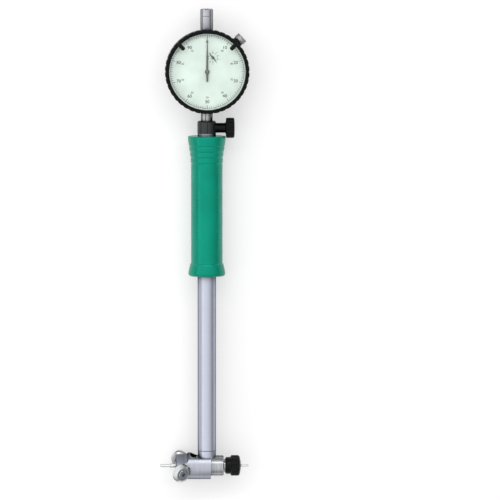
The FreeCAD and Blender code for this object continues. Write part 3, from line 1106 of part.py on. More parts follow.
def anvil():
    """Anvil in the barrel's right end, its washer and its knurled lock nut."""
    thick = "anvil_diameter / 2"
    tip = "anvil_tip_diameter / 2"
    step = "(anvil_step - anvil_root)"
    tall = "(anvil_end - anvil_root)"
    pin = turned("anvil_body", [("0", "0"), (thick, "0"),
                                (thick, step), (tip, step), (tip, tall), ("0", tall)])
    pin = rounded(pin, "anvil_tip_diameter * 0.45", [(tip, tall)])
    seat(pin, "anvil", "anvil_root", turn="+X")
    washer = turned("washer_ring", [
        (f"{thick} + running_gap", "0"), ("washer_diameter / 2", "0"),
        ("washer_diameter / 2", "washer_thickness"), (f"{thick} + running_gap", "washer_thickness")])
    seat(washer, "anvil_washer", "barrel_right", turn="+X")
    bore = f"{thick} + running_gap"
    neck = "nut_neck_diameter / 2"
    big = "nut_diameter / 2"
    low = "nut_neck_length"
    high = "(nut_neck_length + nut_length)"
    depth = f"(anvil_step + face_gap - {NUT_START} - face_gap)"
    nut = turned("nut_body", [
        (bore, "0"), (f"{neck} - nut_bevel", "0"), (neck, "nut_bevel"),
        (neck, low), (f"{big} - nut_bevel", low),
        (big, f"{low} + nut_bevel"), (big, high), ("nut_diameter / 2 * 0.42", f"{high} + nut_dome"),
        (f"{tip} + running_gap", f"{high} + nut_dome"), (f"{tip} + running_gap", depth), (bore, depth)])
    nut = rounded(nut, "nut_dome", [(big, high)])
    seat(nut, "lock_nut", f"{NUT_START} + face_gap", turn="+X")


dial_case()
back_cover()
stem_and_bush()
top_cap()
spindle()
movement()
dial()
pointer("main_pointer", "main_pointer", 0, "0", "dial_height", "pointer_thickness + 0.5")
pointer("counter_pointer", "counter_pointer", size("counter_pointer_turn"), COUNTER_X,
        f"dial_height + {COUNTER_Y}", "pointer_thickness")
bezel()
limit_marker("limit_marker_left", size("marker_angle"))
limit_marker("limit_marker_right", 0 - size("marker_angle"))
bezel_clamp_screw()
clamp()
tube_and_rod()
grip()
head_collar()
head_body()
crank()
contact()
bridge()
wheels()
bridge_spring()
guide_screw()
anvil()
doc.recompute()

for thing in doc.Objects:
    if "Invalid" in thing.State or "Error" in thing.State:
        raise RuntimeError(f"{thing.Name} failed: {thing.State}")
for piece in subparts:
    if piece.Shape.isNull() or not piece.Shape.isValid() or not piece.Shape.Solids:
        raise RuntimeError(f"{piece.Label} has no valid solid")

os.makedirs("parts", exist_ok=True)
for piece in subparts:
    piece.Shape.exportStep(f"parts/{piece.Label}.step")
    box = piece.Shape.BoundBox
    print(f"{piece.Label:20} {len(piece.Shape.Solids)} solid(s) {piece.Shape.Volume:10.2f} mm3  "
          f"x {box.XMin:7.2f} {box.XMax:7.2f}  "
          f"y {box.YMin:7.2f} {box.YMax:7.2f}  z {box.ZMin:6.2f} {box.ZMax:6.2f}")
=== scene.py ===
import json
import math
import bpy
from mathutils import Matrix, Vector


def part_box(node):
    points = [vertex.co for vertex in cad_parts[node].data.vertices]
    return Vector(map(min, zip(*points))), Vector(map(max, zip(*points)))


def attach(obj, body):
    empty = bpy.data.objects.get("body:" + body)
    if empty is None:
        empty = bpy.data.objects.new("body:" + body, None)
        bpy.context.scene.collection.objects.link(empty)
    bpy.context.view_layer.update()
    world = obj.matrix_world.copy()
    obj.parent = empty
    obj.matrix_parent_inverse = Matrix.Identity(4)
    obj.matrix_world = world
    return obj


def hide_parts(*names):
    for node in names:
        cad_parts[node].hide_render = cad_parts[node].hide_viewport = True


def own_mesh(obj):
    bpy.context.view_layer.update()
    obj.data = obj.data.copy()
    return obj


bl_info = {
    "name": "Dial Bore Gauge",
    "version": (1, 0, 0),
    "blender": (4, 5, 0),
    "location": "3D View > Sidebar > Bore Gauge",
    "description": "Steel, green grip, printed dial, knurled knobs and studio light of a dial bore gauge",
    "category": "Object",
}

import bmesh
import bpy
from bpy.props import FloatProperty, FloatVectorProperty, IntProperty, PointerProperty
from mathutils import Matrix, Vector

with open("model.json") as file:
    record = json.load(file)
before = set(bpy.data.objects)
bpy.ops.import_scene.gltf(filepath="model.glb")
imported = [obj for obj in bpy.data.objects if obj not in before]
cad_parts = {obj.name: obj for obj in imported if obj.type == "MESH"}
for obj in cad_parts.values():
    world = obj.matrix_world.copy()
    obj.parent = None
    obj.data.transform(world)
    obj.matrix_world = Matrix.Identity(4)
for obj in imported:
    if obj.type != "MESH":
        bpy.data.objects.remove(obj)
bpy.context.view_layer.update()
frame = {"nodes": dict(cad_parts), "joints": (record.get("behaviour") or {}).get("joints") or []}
gauge = frame["nodes"]
MM = 0.001
ON_AXIS = 1e-7
X_AXIS = (1.0, 0.0, 0.0)
Y_AXIS = (0.0, 1.0, 0.0)
DIGIT_HEIGHT = 0.69  # of a digit in Blender's own font, as a share of the font's size
STROKE_GAIN = 0.025  # how much bolder than the font the digits are, as a share of their height
WORN_GAIN = 1.35  # rubbed edges, over their own colour
# Painted shade: how dark occluded spots of steel get, as a share of its own colour
PAINTED_SHADE_GAIN = 0.06
STEEL_RIM = (0.05, 0.05, 0.05)  # bare steel mirrors less of the white table at its edges


def tone(red, green, blue):
    """A colour given in screen values from 0 to 255, as Blender's linear numbers."""
    def linear(value):
        value /= 255.0
        return value / 12.92 if value <= 0.04045 else ((value + 0.055) / 1.055) ** 2.4
    return (linear(red), linear(green), linear(blue))


def colour_property(label, meaning, default):
    return FloatVectorProperty(name=label, description=meaning, subtype="COLOR", size=3, min=0.0, max=1.0,
                               default=default)


def length_property(label, meaning, default):
    return FloatProperty(name=label, description=meaning, subtype="DISTANCE", unit="LENGTH", min=0.0,
                         default=default)


class GaugeFinish(bpy.types.PropertyGroup):
    tube_steel: colour_property("Tube steel", "Long tube and its collar", tone(188, 192, 206))
    satin_steel: colour_property("Satin steel", "Dust cap", tone(174, 176, 182))
    barrel_steel: colour_property("Barrel steel", "Barrel of the head", tone(176, 178, 181))
    bright_steel: colour_property("Bright steel", "Screws, hub cap, push rod, crank", tone(216, 218, 220))
    wheel_steel: colour_property("Wheel steel", "Wheels, contact and anvil", tone(222, 223, 225))
    bridge_steel: colour_property("Bridge steel", "Bridge, axle screws and spring", tone(178, 182, 192))
    knob_steel: colour_property("Knob steel", "Knurled bezel clamp screw", tone(176, 173, 175))
    black_enamel: colour_property("Black enamel", "Housing, bezel and limit markers", tone(6, 10, 9))
    oxide: colour_property("Grey oxide", "Clamp collar", tone(50, 53, 53))
    black_oxide: colour_property("Black oxide", "Lock nut and clamp knob", tone(6, 7, 8))
    grip_green: colour_property("Grip green", "Moulded handle", tone(0, 129, 101))
    dial_mint: colour_property("Dial", "Dial and scale ring", tone(226, 240, 231))
    chrome: colour_property("Chrome", "Stem, spindle and its bush", tone(190, 192, 194))
    print_ink: colour_property("Ink", "Numerals and graduations", tone(30, 40, 36))
    pointer_grey: colour_property("Pointer", "Both pointers", tone(46, 58, 52))
    brass: colour_property("Brass", "Gear train and bushes", tone(186, 152, 84))
    cover_steel: colour_property("Cover", "Flat back cover", tone(150, 152, 154))


class GaugeDial(bpy.types.PropertyGroup):
    divisions: IntProperty(name="Divisions", description="Lines of the outer scale", default=100, min=10)
    numeral_height: length_property("Numerals", "Height of the outer numerals", 2.1 * MM)
    numeral_radius: length_property("Numeral circle", "Dial centre to the middle of the numerals", 20.4 * MM)
    inner_height: length_property("Inner numerals", "Height of the inner numerals", 1.3 * MM)
    inner_radius: length_property("Inner numeral circle", "Dial centre to the inner numerals", 17.55 * MM)
    scale_outside: length_property("Scale outside", "Outer ends of the graduations", 24.95 * MM)
    scale_short: length_property("Short line", "Length of a short graduation", 1.1 * MM)
    scale_long: length_property("Long line", "Length of every tenth graduation", 2.0 * MM)
    ink_thickness: length_property("Ink", "Height of the print over the dial", 0.03 * MM)


class GaugeStage(bpy.types.PropertyGroup):
    distance: length_property("Camera distance", "From the gauge to the camera", 6.0)
    width: length_property("Picture width", "What the camera takes in, at the tube's axis", 0.3414)
    pitch: FloatProperty(name="Pitch", description="Camera towards the dial's side", subtype="ANGLE",
                         default=math.radians(4.3))
    lean: FloatProperty(name="Lean", description="Camera towards the contact's side", subtype="ANGLE",
                        default=math.radians(2.5))
    aim_x: FloatProperty(name="Aim X", description="Middle of the picture", unit="LENGTH", default=29.52 * MM)
    aim_y: FloatProperty(name="Aim Y", description="Middle of the picture, from the measuring axis",
                         unit="LENGTH", default=147.67 * MM)


def joint_of(name):
    """One of the frame's joints."""
    return next(joint for joint in frame["joints"] if joint["name"] == name)


def middle_of(name):
    """Middle of a CAD node's box, along the tube (y) and over the table (z)."""
    low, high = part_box(name)
    return (low.y + high.y) / 2, (low.z + high.z) / 2


# Meshes

def mesh_object(name, build, material, body, sharp_from):
    """A piece from a bmesh, smooth but for edges over an angle in degrees, riding on a body."""
    mesh = bpy.data.meshes.new(name)
    build.normal_update()
    build.to_mesh(mesh)
    build.free()
    piece = bpy.data.objects.new(name, mesh)
    bpy.context.scene.collection.objects.link(piece)
    mesh.materials.append(material)
    mesh.shade_smooth()
    mesh.set_sharp_from_angle(angle=math.radians(sharp_from))
    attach(piece, body)
    return piece


def evaluated_mesh(item):
    """A new mesh of an object as its modifiers leave it."""
    bpy.context.view_layer.update()
    graph = bpy.context.evaluated_depsgraph_get()
    return bpy.data.meshes.new_from_object(item.evaluated_get(graph))


def lathe(build, profile, place, segments, radius_at=None):
    """Adds a closed turned form. The profile is radius and height pairs; it closes on itself."""
    rings = []
    for index, (radius, height) in enumerate(profile):
        if radius < ON_AXIS:
            rings.append([build.verts.new(place @ Vector((0.0, 0.0, height)))])
            continue
        ring = []
        for step in range(segments):
            angle = 2 * math.pi * step / segments
            r = radius_at(radius, height, angle) if radius_at else radius
            ring.append(build.verts.new(place @ Vector((r * math.cos(angle), r * math.sin(angle), height))))
        rings.append(ring)
    count = len(rings)
    hollow = profile[0][0] > ON_AXIS and profile[-1][0] > ON_AXIS
    for index in range(count if hollow else count - 1):
        low, high = rings[index], rings[(index + 1) % count]
        for step in range(segments):
            after = (step + 1) % segments
            if len(low) == 1 and len(high) == 1:
                continue
            if len(low) == 1:
                build.faces.new((low[0], high[after], high[step]))
            elif len(high) == 1:
                build.faces.new((low[step], low[after], high[0]))
            else:
                build.faces.new((low[step], low[after], high[after], high[step]))
    bmesh.ops.recalc_face_normals(build, faces=build.faces)


def along(axis, origin):
    """Matrix that puts a lathe's own Z axis along a direction, starting at a point."""
    turn = Vector(axis).to_track_quat("Z", "Y").to_matrix().to_4x4()
    return Matrix.Translation(origin) @ turn


def facing(direction):
    """Turn that points a camera or lamp back along a direction, with the gauge's +Y upwards in its view."""
    back = Vector(direction).normalized()
    right = Vector((0.0, 1.0, 0.0)).cross(back).normalized()
    return Matrix((right, back.cross(right), back)).transposed().to_quaternion()


def turned_piece(name, profile, place, segments, material, body, sharp_from, radius_at=None):
    """A piece made of one turned form."""
    build = bmesh.new()
    lathe(build, profile, place, segments, radius_at)
    return mesh_object(name, build, material, body, sharp_from)


def rows_along(radius, start, length, count):
    """Points at one radius, close enough along a turned form for its knurl to show."""
    return [(radius, start + length * row / count) for row in range(count + 1)]


def bar(build, inner, outer, width, angle, low, high):
    """A radial bar on the dial, between two radii, at an angle clockwise from twelve."""
    turn = Matrix.Rotation(-angle, 4, "Z")
    half = width / 2
    corners = [(-half, inner), (half, inner), (half, outer), (-half, outer)]
    bottom, top = [[build.verts.new(turn @ Vector((x, y, z))) for x, y in corners] for z in (low, high)]
    build.faces.new(top)
    build.faces.new(list(reversed(bottom)))
    for step in range(4):
        after = (step + 1) % 4
        build.faces.new((bottom[step], bottom[after], top[after], top[step]))


def band(build, inner, outer, low, high):
    """A flat printed ring round the dial's centre."""
    lathe(build, [(inner, low), (outer, low), (outer, high), (inner, high)], Matrix.Identity(4), 180)


def lettering(build, text, height, x, y, low, thickness):
    """A number, upright, centred on a point of the dial."""
    curve = bpy.data.curves.new("number", "FONT")
    curve.body = text
    curve.size = height / DIGIT_HEIGHT
    curve.align_x = "CENTER"
    curve.extrude = thickness / 2
    curve.offset = height * STROKE_GAIN
    curve.resolution_u = 3
    holder = bpy.data.objects.new("number", curve)
    bpy.context.scene.collection.objects.link(holder)
    mesh = evaluated_mesh(holder)
    mesh.transform(Matrix.Translation((x, y - height / 2, low + thickness / 2)))
    build.from_mesh(mesh)
    bpy.data.objects.remove(holder)
    bpy.data.curves.remove(curve)
    bpy.data.meshes.remove(mesh)


def numbers_round(build, texts, height, circle, low, thickness, centre=(0.0, 0.0)):
    """Numbers at even angles round a circle, clockwise from twelve."""
    for index, text in enumerate(texts):
        angle = 2 * math.pi * index / len(texts)
        lettering(build, text, height, centre[0] + math.sin(angle) * circle,
                  centre[1] + math.cos(angle) * circle, low, thickness)


# Shader groups

def open_group(name, inputs, outputs):
    """A new shader group with named sockets; gives the tree, its input node and its output node."""
    tree = bpy.data.node_groups.new(name, "ShaderNodeTree")
    for label, kind, value in inputs:
        socket = tree.interface.new_socket(name=label, in_out="INPUT", socket_type=kind)
        socket.default_value = value
    for label, kind in outputs:
        tree.interface.new_socket(name=label, in_out="OUTPUT", socket_type=kind)
    return tree, tree.nodes.new("NodeGroupInput"), tree.nodes.new("NodeGroupOutput")


def feed(tree, socket, value):
    """Puts a value on a socket, or links another socket to it."""
    if isinstance(value, bpy.types.NodeSocket):
        tree.links.new(value, socket)
    else:
        socket.default_value = value


def calc(tree, operation, first, second=None, third=None, clamp=False):
    """A Math node; each value is a number or a socket."""
    node = tree.nodes.new("ShaderNodeMath")
    node.operation = operation
    node.use_clamp = clamp
    for index, value in enumerate((first, second, third)):
        if value is not None:
            feed(tree, node.inputs[index], value)
    return node.outputs[0]


def stretch(tree, value, from_low, from_high, to_low, to_high):
    """A Map Range node."""
    node = tree.nodes.new("ShaderNodeMapRange")
    tree.links.new(value, node.inputs["Value"])
    limits = {"From Min": from_low, "From Max": from_high, "To Min": to_low, "To Max": to_high}
    for label, number in limits.items():
        node.inputs[label].default_value = number
    return node.outputs["Result"]


def noise(tree, vector, scale, detail=2.0, rough=0.5):
    """A noise over the gauge's own coordinates; the scale is a number or a socket."""
    node = tree.nodes.new("ShaderNodeTexNoise")
    node.inputs["Detail"].default_value = detail
    node.inputs["Roughness"].default_value = rough
    feed(tree, node.inputs["Scale"], scale)
    tree.links.new(vector, node.inputs["Vector"])
    return node.outputs["Fac"]


def tool_lines_group():
    """Fine lines left by turning, grinding or brushing, with the spacing given for each axis."""
    tree, source, result = open_group(
        "Tool Lines",
        [("Spacing", "NodeSocketVector", (80.0, 9000.0, 80.0)), ("Unevenness", "NodeSocketFloat", 0.5)],
        [("Lines", "NodeSocketFloat"), ("Height", "NodeSocketFloat")])
    place = tree.nodes.new("ShaderNodeTexCoord")
    scaled = tree.nodes.new("ShaderNodeVectorMath")
    scaled.operation = "MULTIPLY"
    tree.links.new(place.outputs["Object"], scaled.inputs[0])
    tree.links.new(source.outputs["Spacing"], scaled.inputs[1])
    fine = noise(tree, scaled.outputs[0], 1.0, 3.0, 0.65)
    broad = noise(tree, scaled.outputs[0], 0.13, 1.0)
    mixed = calc(tree, "MULTIPLY_ADD", calc(tree, "SUBTRACT", broad, 0.5), source.outputs["Unevenness"], fine)
    tree.links.new(stretch(tree, mixed, 0.25, 0.75, 0.0, 1.0), result.inputs["Lines"])
    tree.links.new(fine, result.inputs["Height"])
    return tree


def edge_wear_group():
    """Mask of edges rubbed bright, broken up by a noise."""
    tree, source, result = open_group(
        "Edge Wear",
        [("Width", "NodeSocketFloat", 0.0003), ("Amount", "NodeSocketFloat", 0.5),
         ("Breakup", "NodeSocketFloat", 900.0)],
        [("Worn", "NodeSocketFloat")])
    geometry = tree.nodes.new("ShaderNodeNewGeometry")
    soft = tree.nodes.new("ShaderNodeBevel")
    soft.samples = 4
    tree.links.new(source.outputs["Width"], soft.inputs["Radius"])
    likeness = tree.nodes.new("ShaderNodeVectorMath")
    likeness.operation = "DOT_PRODUCT"
    tree.links.new(geometry.outputs["Normal"], likeness.inputs[0])
    tree.links.new(soft.outputs["Normal"], likeness.inputs[1])
    edge = stretch(tree, likeness.outputs["Value"], 0.995, 0.88, 0.0, 1.0)
    place = tree.nodes.new("ShaderNodeTexCoord")
    broken = noise(tree, place.outputs["Object"], source.outputs["Breakup"], 3.0, 0.7)
    patchy = stretch(tree, broken, 0.35, 0.65, 0.25, 1.0)
    worn = calc(tree, "MULTIPLY", calc(tree, "MULTIPLY", edge, patchy), source.outputs["Amount"], clamp=True)
    tree.links.new(worn, result.inputs["Worn"])
    return tree


def crevice_group():
    """Mask of painted shade: high where ambient occlusion finds corners, slots, gaps, nearby parts or the
    table within the reach.
    """
    tree, source, result = open_group(
        "Painted Occlusion Shade", [("Reach", "NodeSocketFloat", 0.002), ("Amount", "NodeSocketFloat", 0.6)],
        [("Painted Shade", "NodeSocketFloat")])
    shelter = tree.nodes.new("ShaderNodeAmbientOcclusion")
    shelter.samples = 8
    tree.links.new(source.outputs["Reach"], shelter.inputs["Distance"])
    closed = stretch(tree, shelter.outputs["AO"], 0.85, 0.35, 0.0, 1.0)
    painted_shade = calc(tree, "MULTIPLY", closed, source.outputs["Amount"], clamp=True)
    tree.links.new(painted_shade, result.inputs["Painted Shade"])
    return tree


def handling_group():
    """Smudges left by hands and oil, and fine specks of dust."""
    tree, source, result = open_group(
        "Handling",
        [("Size", "NodeSocketFloat", 90.0), ("Specks", "NodeSocketFloat", 0.5)],
        [("Smudge", "NodeSocketFloat"), ("Dust", "NodeSocketFloat")])
    place = tree.nodes.new("ShaderNodeTexCoord")
    smear = noise(tree, place.outputs["Object"], source.outputs["Size"], 4.0, 0.55)
    tree.links.new(stretch(tree, smear, 0.35, 0.68, 0.0, 1.0), result.inputs["Smudge"])
    cells = tree.nodes.new("ShaderNodeTexVoronoi")
    cells.inputs["Scale"].default_value = 1400.0
    tree.links.new(place.outputs["Object"], cells.inputs["Vector"])
    speck = stretch(tree, cells.outputs["Distance"], 0.06, 0.16, 1.0, 0.0)
    dust = calc(tree, "MULTIPLY", speck, source.outputs["Specks"], clamp=True)
    tree.links.new(dust, result.inputs["Dust"])
    return tree


def moulded_grain_group():
    """Soft grain of a moulded or painted skin."""
    tree, source, result = open_group(
        "Moulded Grain", [("Scale", "NodeSocketFloat", 2500.0)],
        [("Height", "NodeSocketFloat"), ("Mottle", "NodeSocketFloat")])
    place = tree.nodes.new("ShaderNodeTexCoord")
    grain = noise(tree, place.outputs["Object"], source.outputs["Scale"], 2.0, 0.5)
    tree.links.new(grain, result.inputs["Height"])
    broad = noise(tree, place.outputs["Object"], 60.0, 3.0, 0.5)
    tree.links.new(stretch(tree, broad, 0.3, 0.7, 0.0, 1.0), result.inputs["Mottle"])
    return tree


GROUPS = {
    "Tool Lines": tool_lines_group(),
    "Edge Wear": edge_wear_group(),
    "Painted Occlusion Shade": crevice_group(),
    "Handling": handling_group(),
    "Moulded Grain": moulded_grain_group(),
}


def blank_material(name):
    """A material with only its surface shader; gives the material, its tree and the shader."""
    material = bpy.data.materials.new(name)
    material.use_nodes = True
    tree = material.node_tree
    tree.nodes.clear()
    surface = tree.nodes.new("ShaderNodeBsdfPrincipled")
    output = tree.nodes.new("ShaderNodeOutputMaterial")
    tree.links.new(surface.outputs[0], output.inputs["Surface"])
    return material, tree, surface


def show(tree, shader):
    """Makes a shader the one that the material shows."""
    output = next(node for node in tree.nodes if node.type == "OUTPUT_MATERIAL")
    tree.links.new(shader, output.inputs["Surface"])


def placed(tree, name, **values):
    """One of the shader groups, placed in a material with its own values."""
    node = tree.nodes.new("ShaderNodeGroup")
    node.node_tree = GROUPS[name]
    for label, value in values.items():
        node.inputs[label].default_value = value
    return node.outputs


def tint(tree, factor, first, second):
    """Mixes two colours by a mask."""
    node = tree.nodes.new("ShaderNodeMix")
    node.data_type = "RGBA"
    tree.links.new(factor, node.inputs["Factor"])
    for index, colour in ((6, first), (7, second)):
        feed(tree, node.inputs[index], (*colour, 1.0) if isinstance(colour, tuple) else colour)
    return node.outputs[2]


def relief(tree, height, strength, distance):
    """A Bump node on a height."""
    node = tree.nodes.new("ShaderNodeBump")
    node.inputs["Strength"].default_value = strength
    node.inputs["Distance"].default_value = distance
    tree.links.new(height, node.inputs["Height"])
    return node.outputs["Normal"]


def every_way(spacing):
    """The same spacing of tool marks along all three axes."""
    return (spacing, spacing, spacing)


def scaled_colour(colour, factor):
    return tuple(min(1.0, value * factor) for value in colour)


def steel(name, colour, spacing, rough=0.3, spread=0.08, contrast=0.12, bump=0.15, painted_shade=0.8, reach=0.0022):
    """Bare steel with tool lines, faint smudges, painted shade where ambient occlusion finds corners, gaps or
    the table, and slightly brighter edges.
    """
    material, tree, surface = blank_material(name)
    lines = placed(tree, "Tool Lines", Spacing=spacing)
    touch = placed(tree, "Handling", Size=70.0, Specks=0.25)
    edge = placed(tree, "Edge Wear", Width=0.00025, Amount=0.6)
    dark, light = scaled_colour(colour, 1.0 - contrast), scaled_colour(colour, 1.0 + contrast)
    base = tint(tree, lines["Lines"], dark, light)
    base = tint(tree, edge["Worn"], base, scaled_colour(colour, WORN_GAIN))
    # Painted shade: where ambient occlusion within the reach is high, the base colour darkens to a small
    # share of its own
    corner = placed(tree, "Painted Occlusion Shade", Reach=reach, Amount=painted_shade)
    base = tint(tree, corner["Painted Shade"], base, scaled_colour(colour, PAINTED_SHADE_GAIN))
    tree.links.new(base, surface.inputs["Base Color"])
    uneven = stretch(tree, lines["Lines"], 0.0, 1.0, rough - spread, rough + spread)
    tree.links.new(calc(tree, "MULTIPLY_ADD", touch["Smudge"], spread, uneven, clamp=True),
                   surface.inputs["Roughness"])
    tree.links.new(relief(tree, lines["Height"], bump, 0.00002), surface.inputs["Normal"])
    surface.inputs["Metallic"].default_value = 1.0
    surface.inputs["Specular Tint"].default_value = (*STEEL_RIM, 1.0)
    return material


def coated(name, colour, worn_colour, rough=0.4, grain=2500.0, bump=0.2, wear=0.5, metallic=0.0, width=0.0003,
           specular=0.5, gloss_tint=(1.0, 1.0, 1.0)):
    """Enamel, oxide or plastic: a coloured skin with soft grain, rubbed edges and handling marks."""
    material, tree, surface = blank_material(name)
    skin = placed(tree, "Moulded Grain", Scale=grain)
    touch = placed(tree, "Handling", Size=110.0, Specks=0.35)
    edge = placed(tree, "Edge Wear", Width=width, Amount=wear)
    base = tint(tree, skin["Mottle"], scaled_colour(colour, 0.9), scaled_colour(colour, 1.1))
    base = tint(tree, edge["Worn"], base, worn_colour)
    dusty = tuple(value + 0.03 for value in scaled_colour(colour, 1.1))
    base = tint(tree, touch["Dust"], base, dusty)
    tree.links.new(base, surface.inputs["Base Color"])
    tree.links.new(stretch(tree, touch["Smudge"], 0.0, 1.0, rough - 0.06, rough + 0.08),
                   surface.inputs["Roughness"])
    tree.links.new(relief(tree, skin["Height"], bump, 0.00004), surface.inputs["Normal"])
    surface.inputs["Metallic"].default_value = metallic
    surface.inputs["Specular IOR Level"].default_value = specular
    surface.inputs["Specular Tint"].default_value = (*gloss_tint, 1.0)
    return material


def dress(material, *names):
    """Gives CAD nodes their material."""
    for name in names:
        piece = gauge[name]
        piece.data.materials.clear()
        piece.data.materials.append(material)


# Operators

class GAUGE_OT_stage(bpy.types.Operator):
    """Floor, soft studio light and the camera"""
    bl_idname = "gauge.stage"
    bl_label = "Stage and Camera"

    def execute(self, context):
        scene = context.scene
        settings = scene.gauge_stage
        scene.view_settings.view_transform = "Standard"
        floor_mesh = bpy.data.meshes.new("floor")
        build = bmesh.new()
        bmesh.ops.create_grid(build, x_segments=1, y_segments=1, size=6.0)
        build.to_mesh(floor_mesh)
        build.free()
        floor = bpy.data.objects.new("floor", floor_mesh)
        scene.collection.objects.link(floor)
        floor.location = (0.0, -0.13, -0.00005)  # a hair under the gauge, at its middle
        floor_mesh.materials.append(self.floor_material())
        self.world(scene)
        centre = Vector((0.0, -0.12, 0.015))
        self.lamp("left_strip", centre, Vector((-0.85, 0.1, 0.53)), 1.3, (0.32, 1.6), 1.1)
        self.lamp("top_strip", centre, Vector((0.0, 0.57, 0.82)), 1.3, (1.5, 0.26), 2.6)
        lens = bpy.data.cameras.new("camera")
        lens.sensor_width = 36.0
        lens.lens = lens.sensor_width * settings.distance / settings.width
        lens.clip_start = 0.05
        lens.clip_end = 40.0
        camera = bpy.data.objects.new("camera", lens)
        scene.collection.objects.link(camera)
        aim = Vector((settings.aim_x, middle_of("anvil")[0] + settings.aim_y, middle_of("tube")[1]))
        away = Vector((-math.sin(settings.lean) * math.cos(settings.pitch), math.sin(settings.pitch),
                       math.cos(settings.lean) * math.cos(settings.pitch)))
        camera.location = aim + away * settings.distance
        camera.rotation_mode = "QUATERNION"
        camera.rotation_quaternion = facing(away)
        scene.camera = camera
        return {"FINISHED"}

    def floor_material(self):
        """White matt table that keeps its shadow and reads white to the eye and in reflections."""
        material, tree, surface = blank_material("white_table")
        surface.inputs["Base Color"].default_value = (0.62, 0.62, 0.62, 1.0)
        surface.inputs["Roughness"].default_value = 0.9
        surface.inputs["Specular IOR Level"].default_value = 0.1
        path = tree.nodes.new("ShaderNodeLightPath")
        seen = calc(tree, "MAXIMUM", path.outputs["Is Camera Ray"], path.outputs["Is Glossy Ray"])
        seen = calc(tree, "MAXIMUM", seen, path.outputs["Is Transmission Ray"])
        glow = tree.nodes.new("ShaderNodeEmission")
        tree.links.new(calc(tree, "MULTIPLY", seen, 0.4), glow.inputs["Strength"])
        both = tree.nodes.new("ShaderNodeAddShader")
        tree.links.new(surface.outputs[0], both.inputs[0])
        tree.links.new(glow.outputs[0], both.inputs[1])
        show(tree, both.outputs[0])
        return material

    def world(self, scene):
        """A plain studio: a broad soft light overhead and to the left, fading to a darker horizon."""
        room = bpy.data.worlds.new("studio")
        scene.world = room
        room.use_nodes = True
        tree = room.node_tree
        tree.nodes.clear()
        place = tree.nodes.new("ShaderNodeTexCoord")
        split = tree.nodes.new("ShaderNodeSeparateXYZ")
        tree.links.new(place.outputs["Generated"], split.inputs[0])
        towards = tree.nodes.new("ShaderNodeVectorMath")
        towards.operation = "DOT_PRODUCT"
        tree.links.new(place.outputs["Generated"], towards.inputs[0])
        towards.inputs[1].default_value = Vector((-0.56, 0.08, 0.82)).normalized()
        glow = stretch(tree, towards.outputs["Value"], -0.6, 1.0, 0.36, 1.62)
        horizon = stretch(tree, split.outputs["Z"], -0.05, 0.75, 0.35, 1.0)
        back = tree.nodes.new("ShaderNodeBackground")
        tree.links.new(calc(tree, "MULTIPLY", glow, horizon), back.inputs["Strength"])
        output = tree.nodes.new("ShaderNodeOutputWorld")
        tree.links.new(back.outputs[0], output.inputs["Surface"])

    def lamp(self, name, centre, direction, distance, size, radiance):
        """A rectangular lamp turned to a point, as bright per area as asked."""
        light = bpy.data.lights.new(name, "AREA")
        light.shape = "RECTANGLE"
        light.size, light.size_y = size
        light.energy = radiance * math.pi * size[0] * size[1]
        lamp = bpy.data.objects.new(name, light)
        bpy.context.scene.collection.objects.link(lamp)
        away = direction.normalized()
        lamp.location = centre + away * distance
        lamp.rotation_mode = "QUATERNION"
        lamp.rotation_quaternion = facing(away)


class GAUGE_OT_case(bpy.types.Operator):
    """Housing, back cover and its screws, stem and dust cap"""
    bl_idname = "gauge.case"
    bl_label = "Housing"

    def execute(self, context):
        finish = context.scene.gauge_finish
        enamel = coated("case_enamel", finish.black_enamel, tone(90, 92, 90), rough=0.4, wear=0.45,
                        specular=0.15)
        dress(enamel, "dial_case")
        cover = steel("cover_brushed", finish.cover_steel, (300.0, 9000.0, 300.0), rough=0.36)
        dress(cover, "back_cover")
        screws = steel("screw_bright", finish.bright_steel, every_way(2500.0), rough=0.22, spread=0.05)
        dress(screws, "back_cover_screws")
        # Ground lines, made strong enough to paint dark and bright reflection streaks along the stem; the
        # long reach paints shade on its sides that face the table
        chrome = steel("stem_ground_and_reflection_streaks", finish.chrome, (620.0, 15.0, 620.0), rough=0.08, spread=0.03,
                       contrast=0.95, bump=0.05, painted_shade=1.0, reach=0.08)
        dress(chrome, "stem", "spindle_bush", "spindle")
        # Painted shade: the long reach darkens the cap's sides that face the table
        satin = steel("cap_satin", finish.satin_steel, (90.0, 16000.0, 90.0), rough=0.2, spread=0.04,
                      contrast=0.04, bump=0.04, painted_shade=1.0, reach=0.1)
        dress(satin, "top_cap")
        return {"FINISHED"}


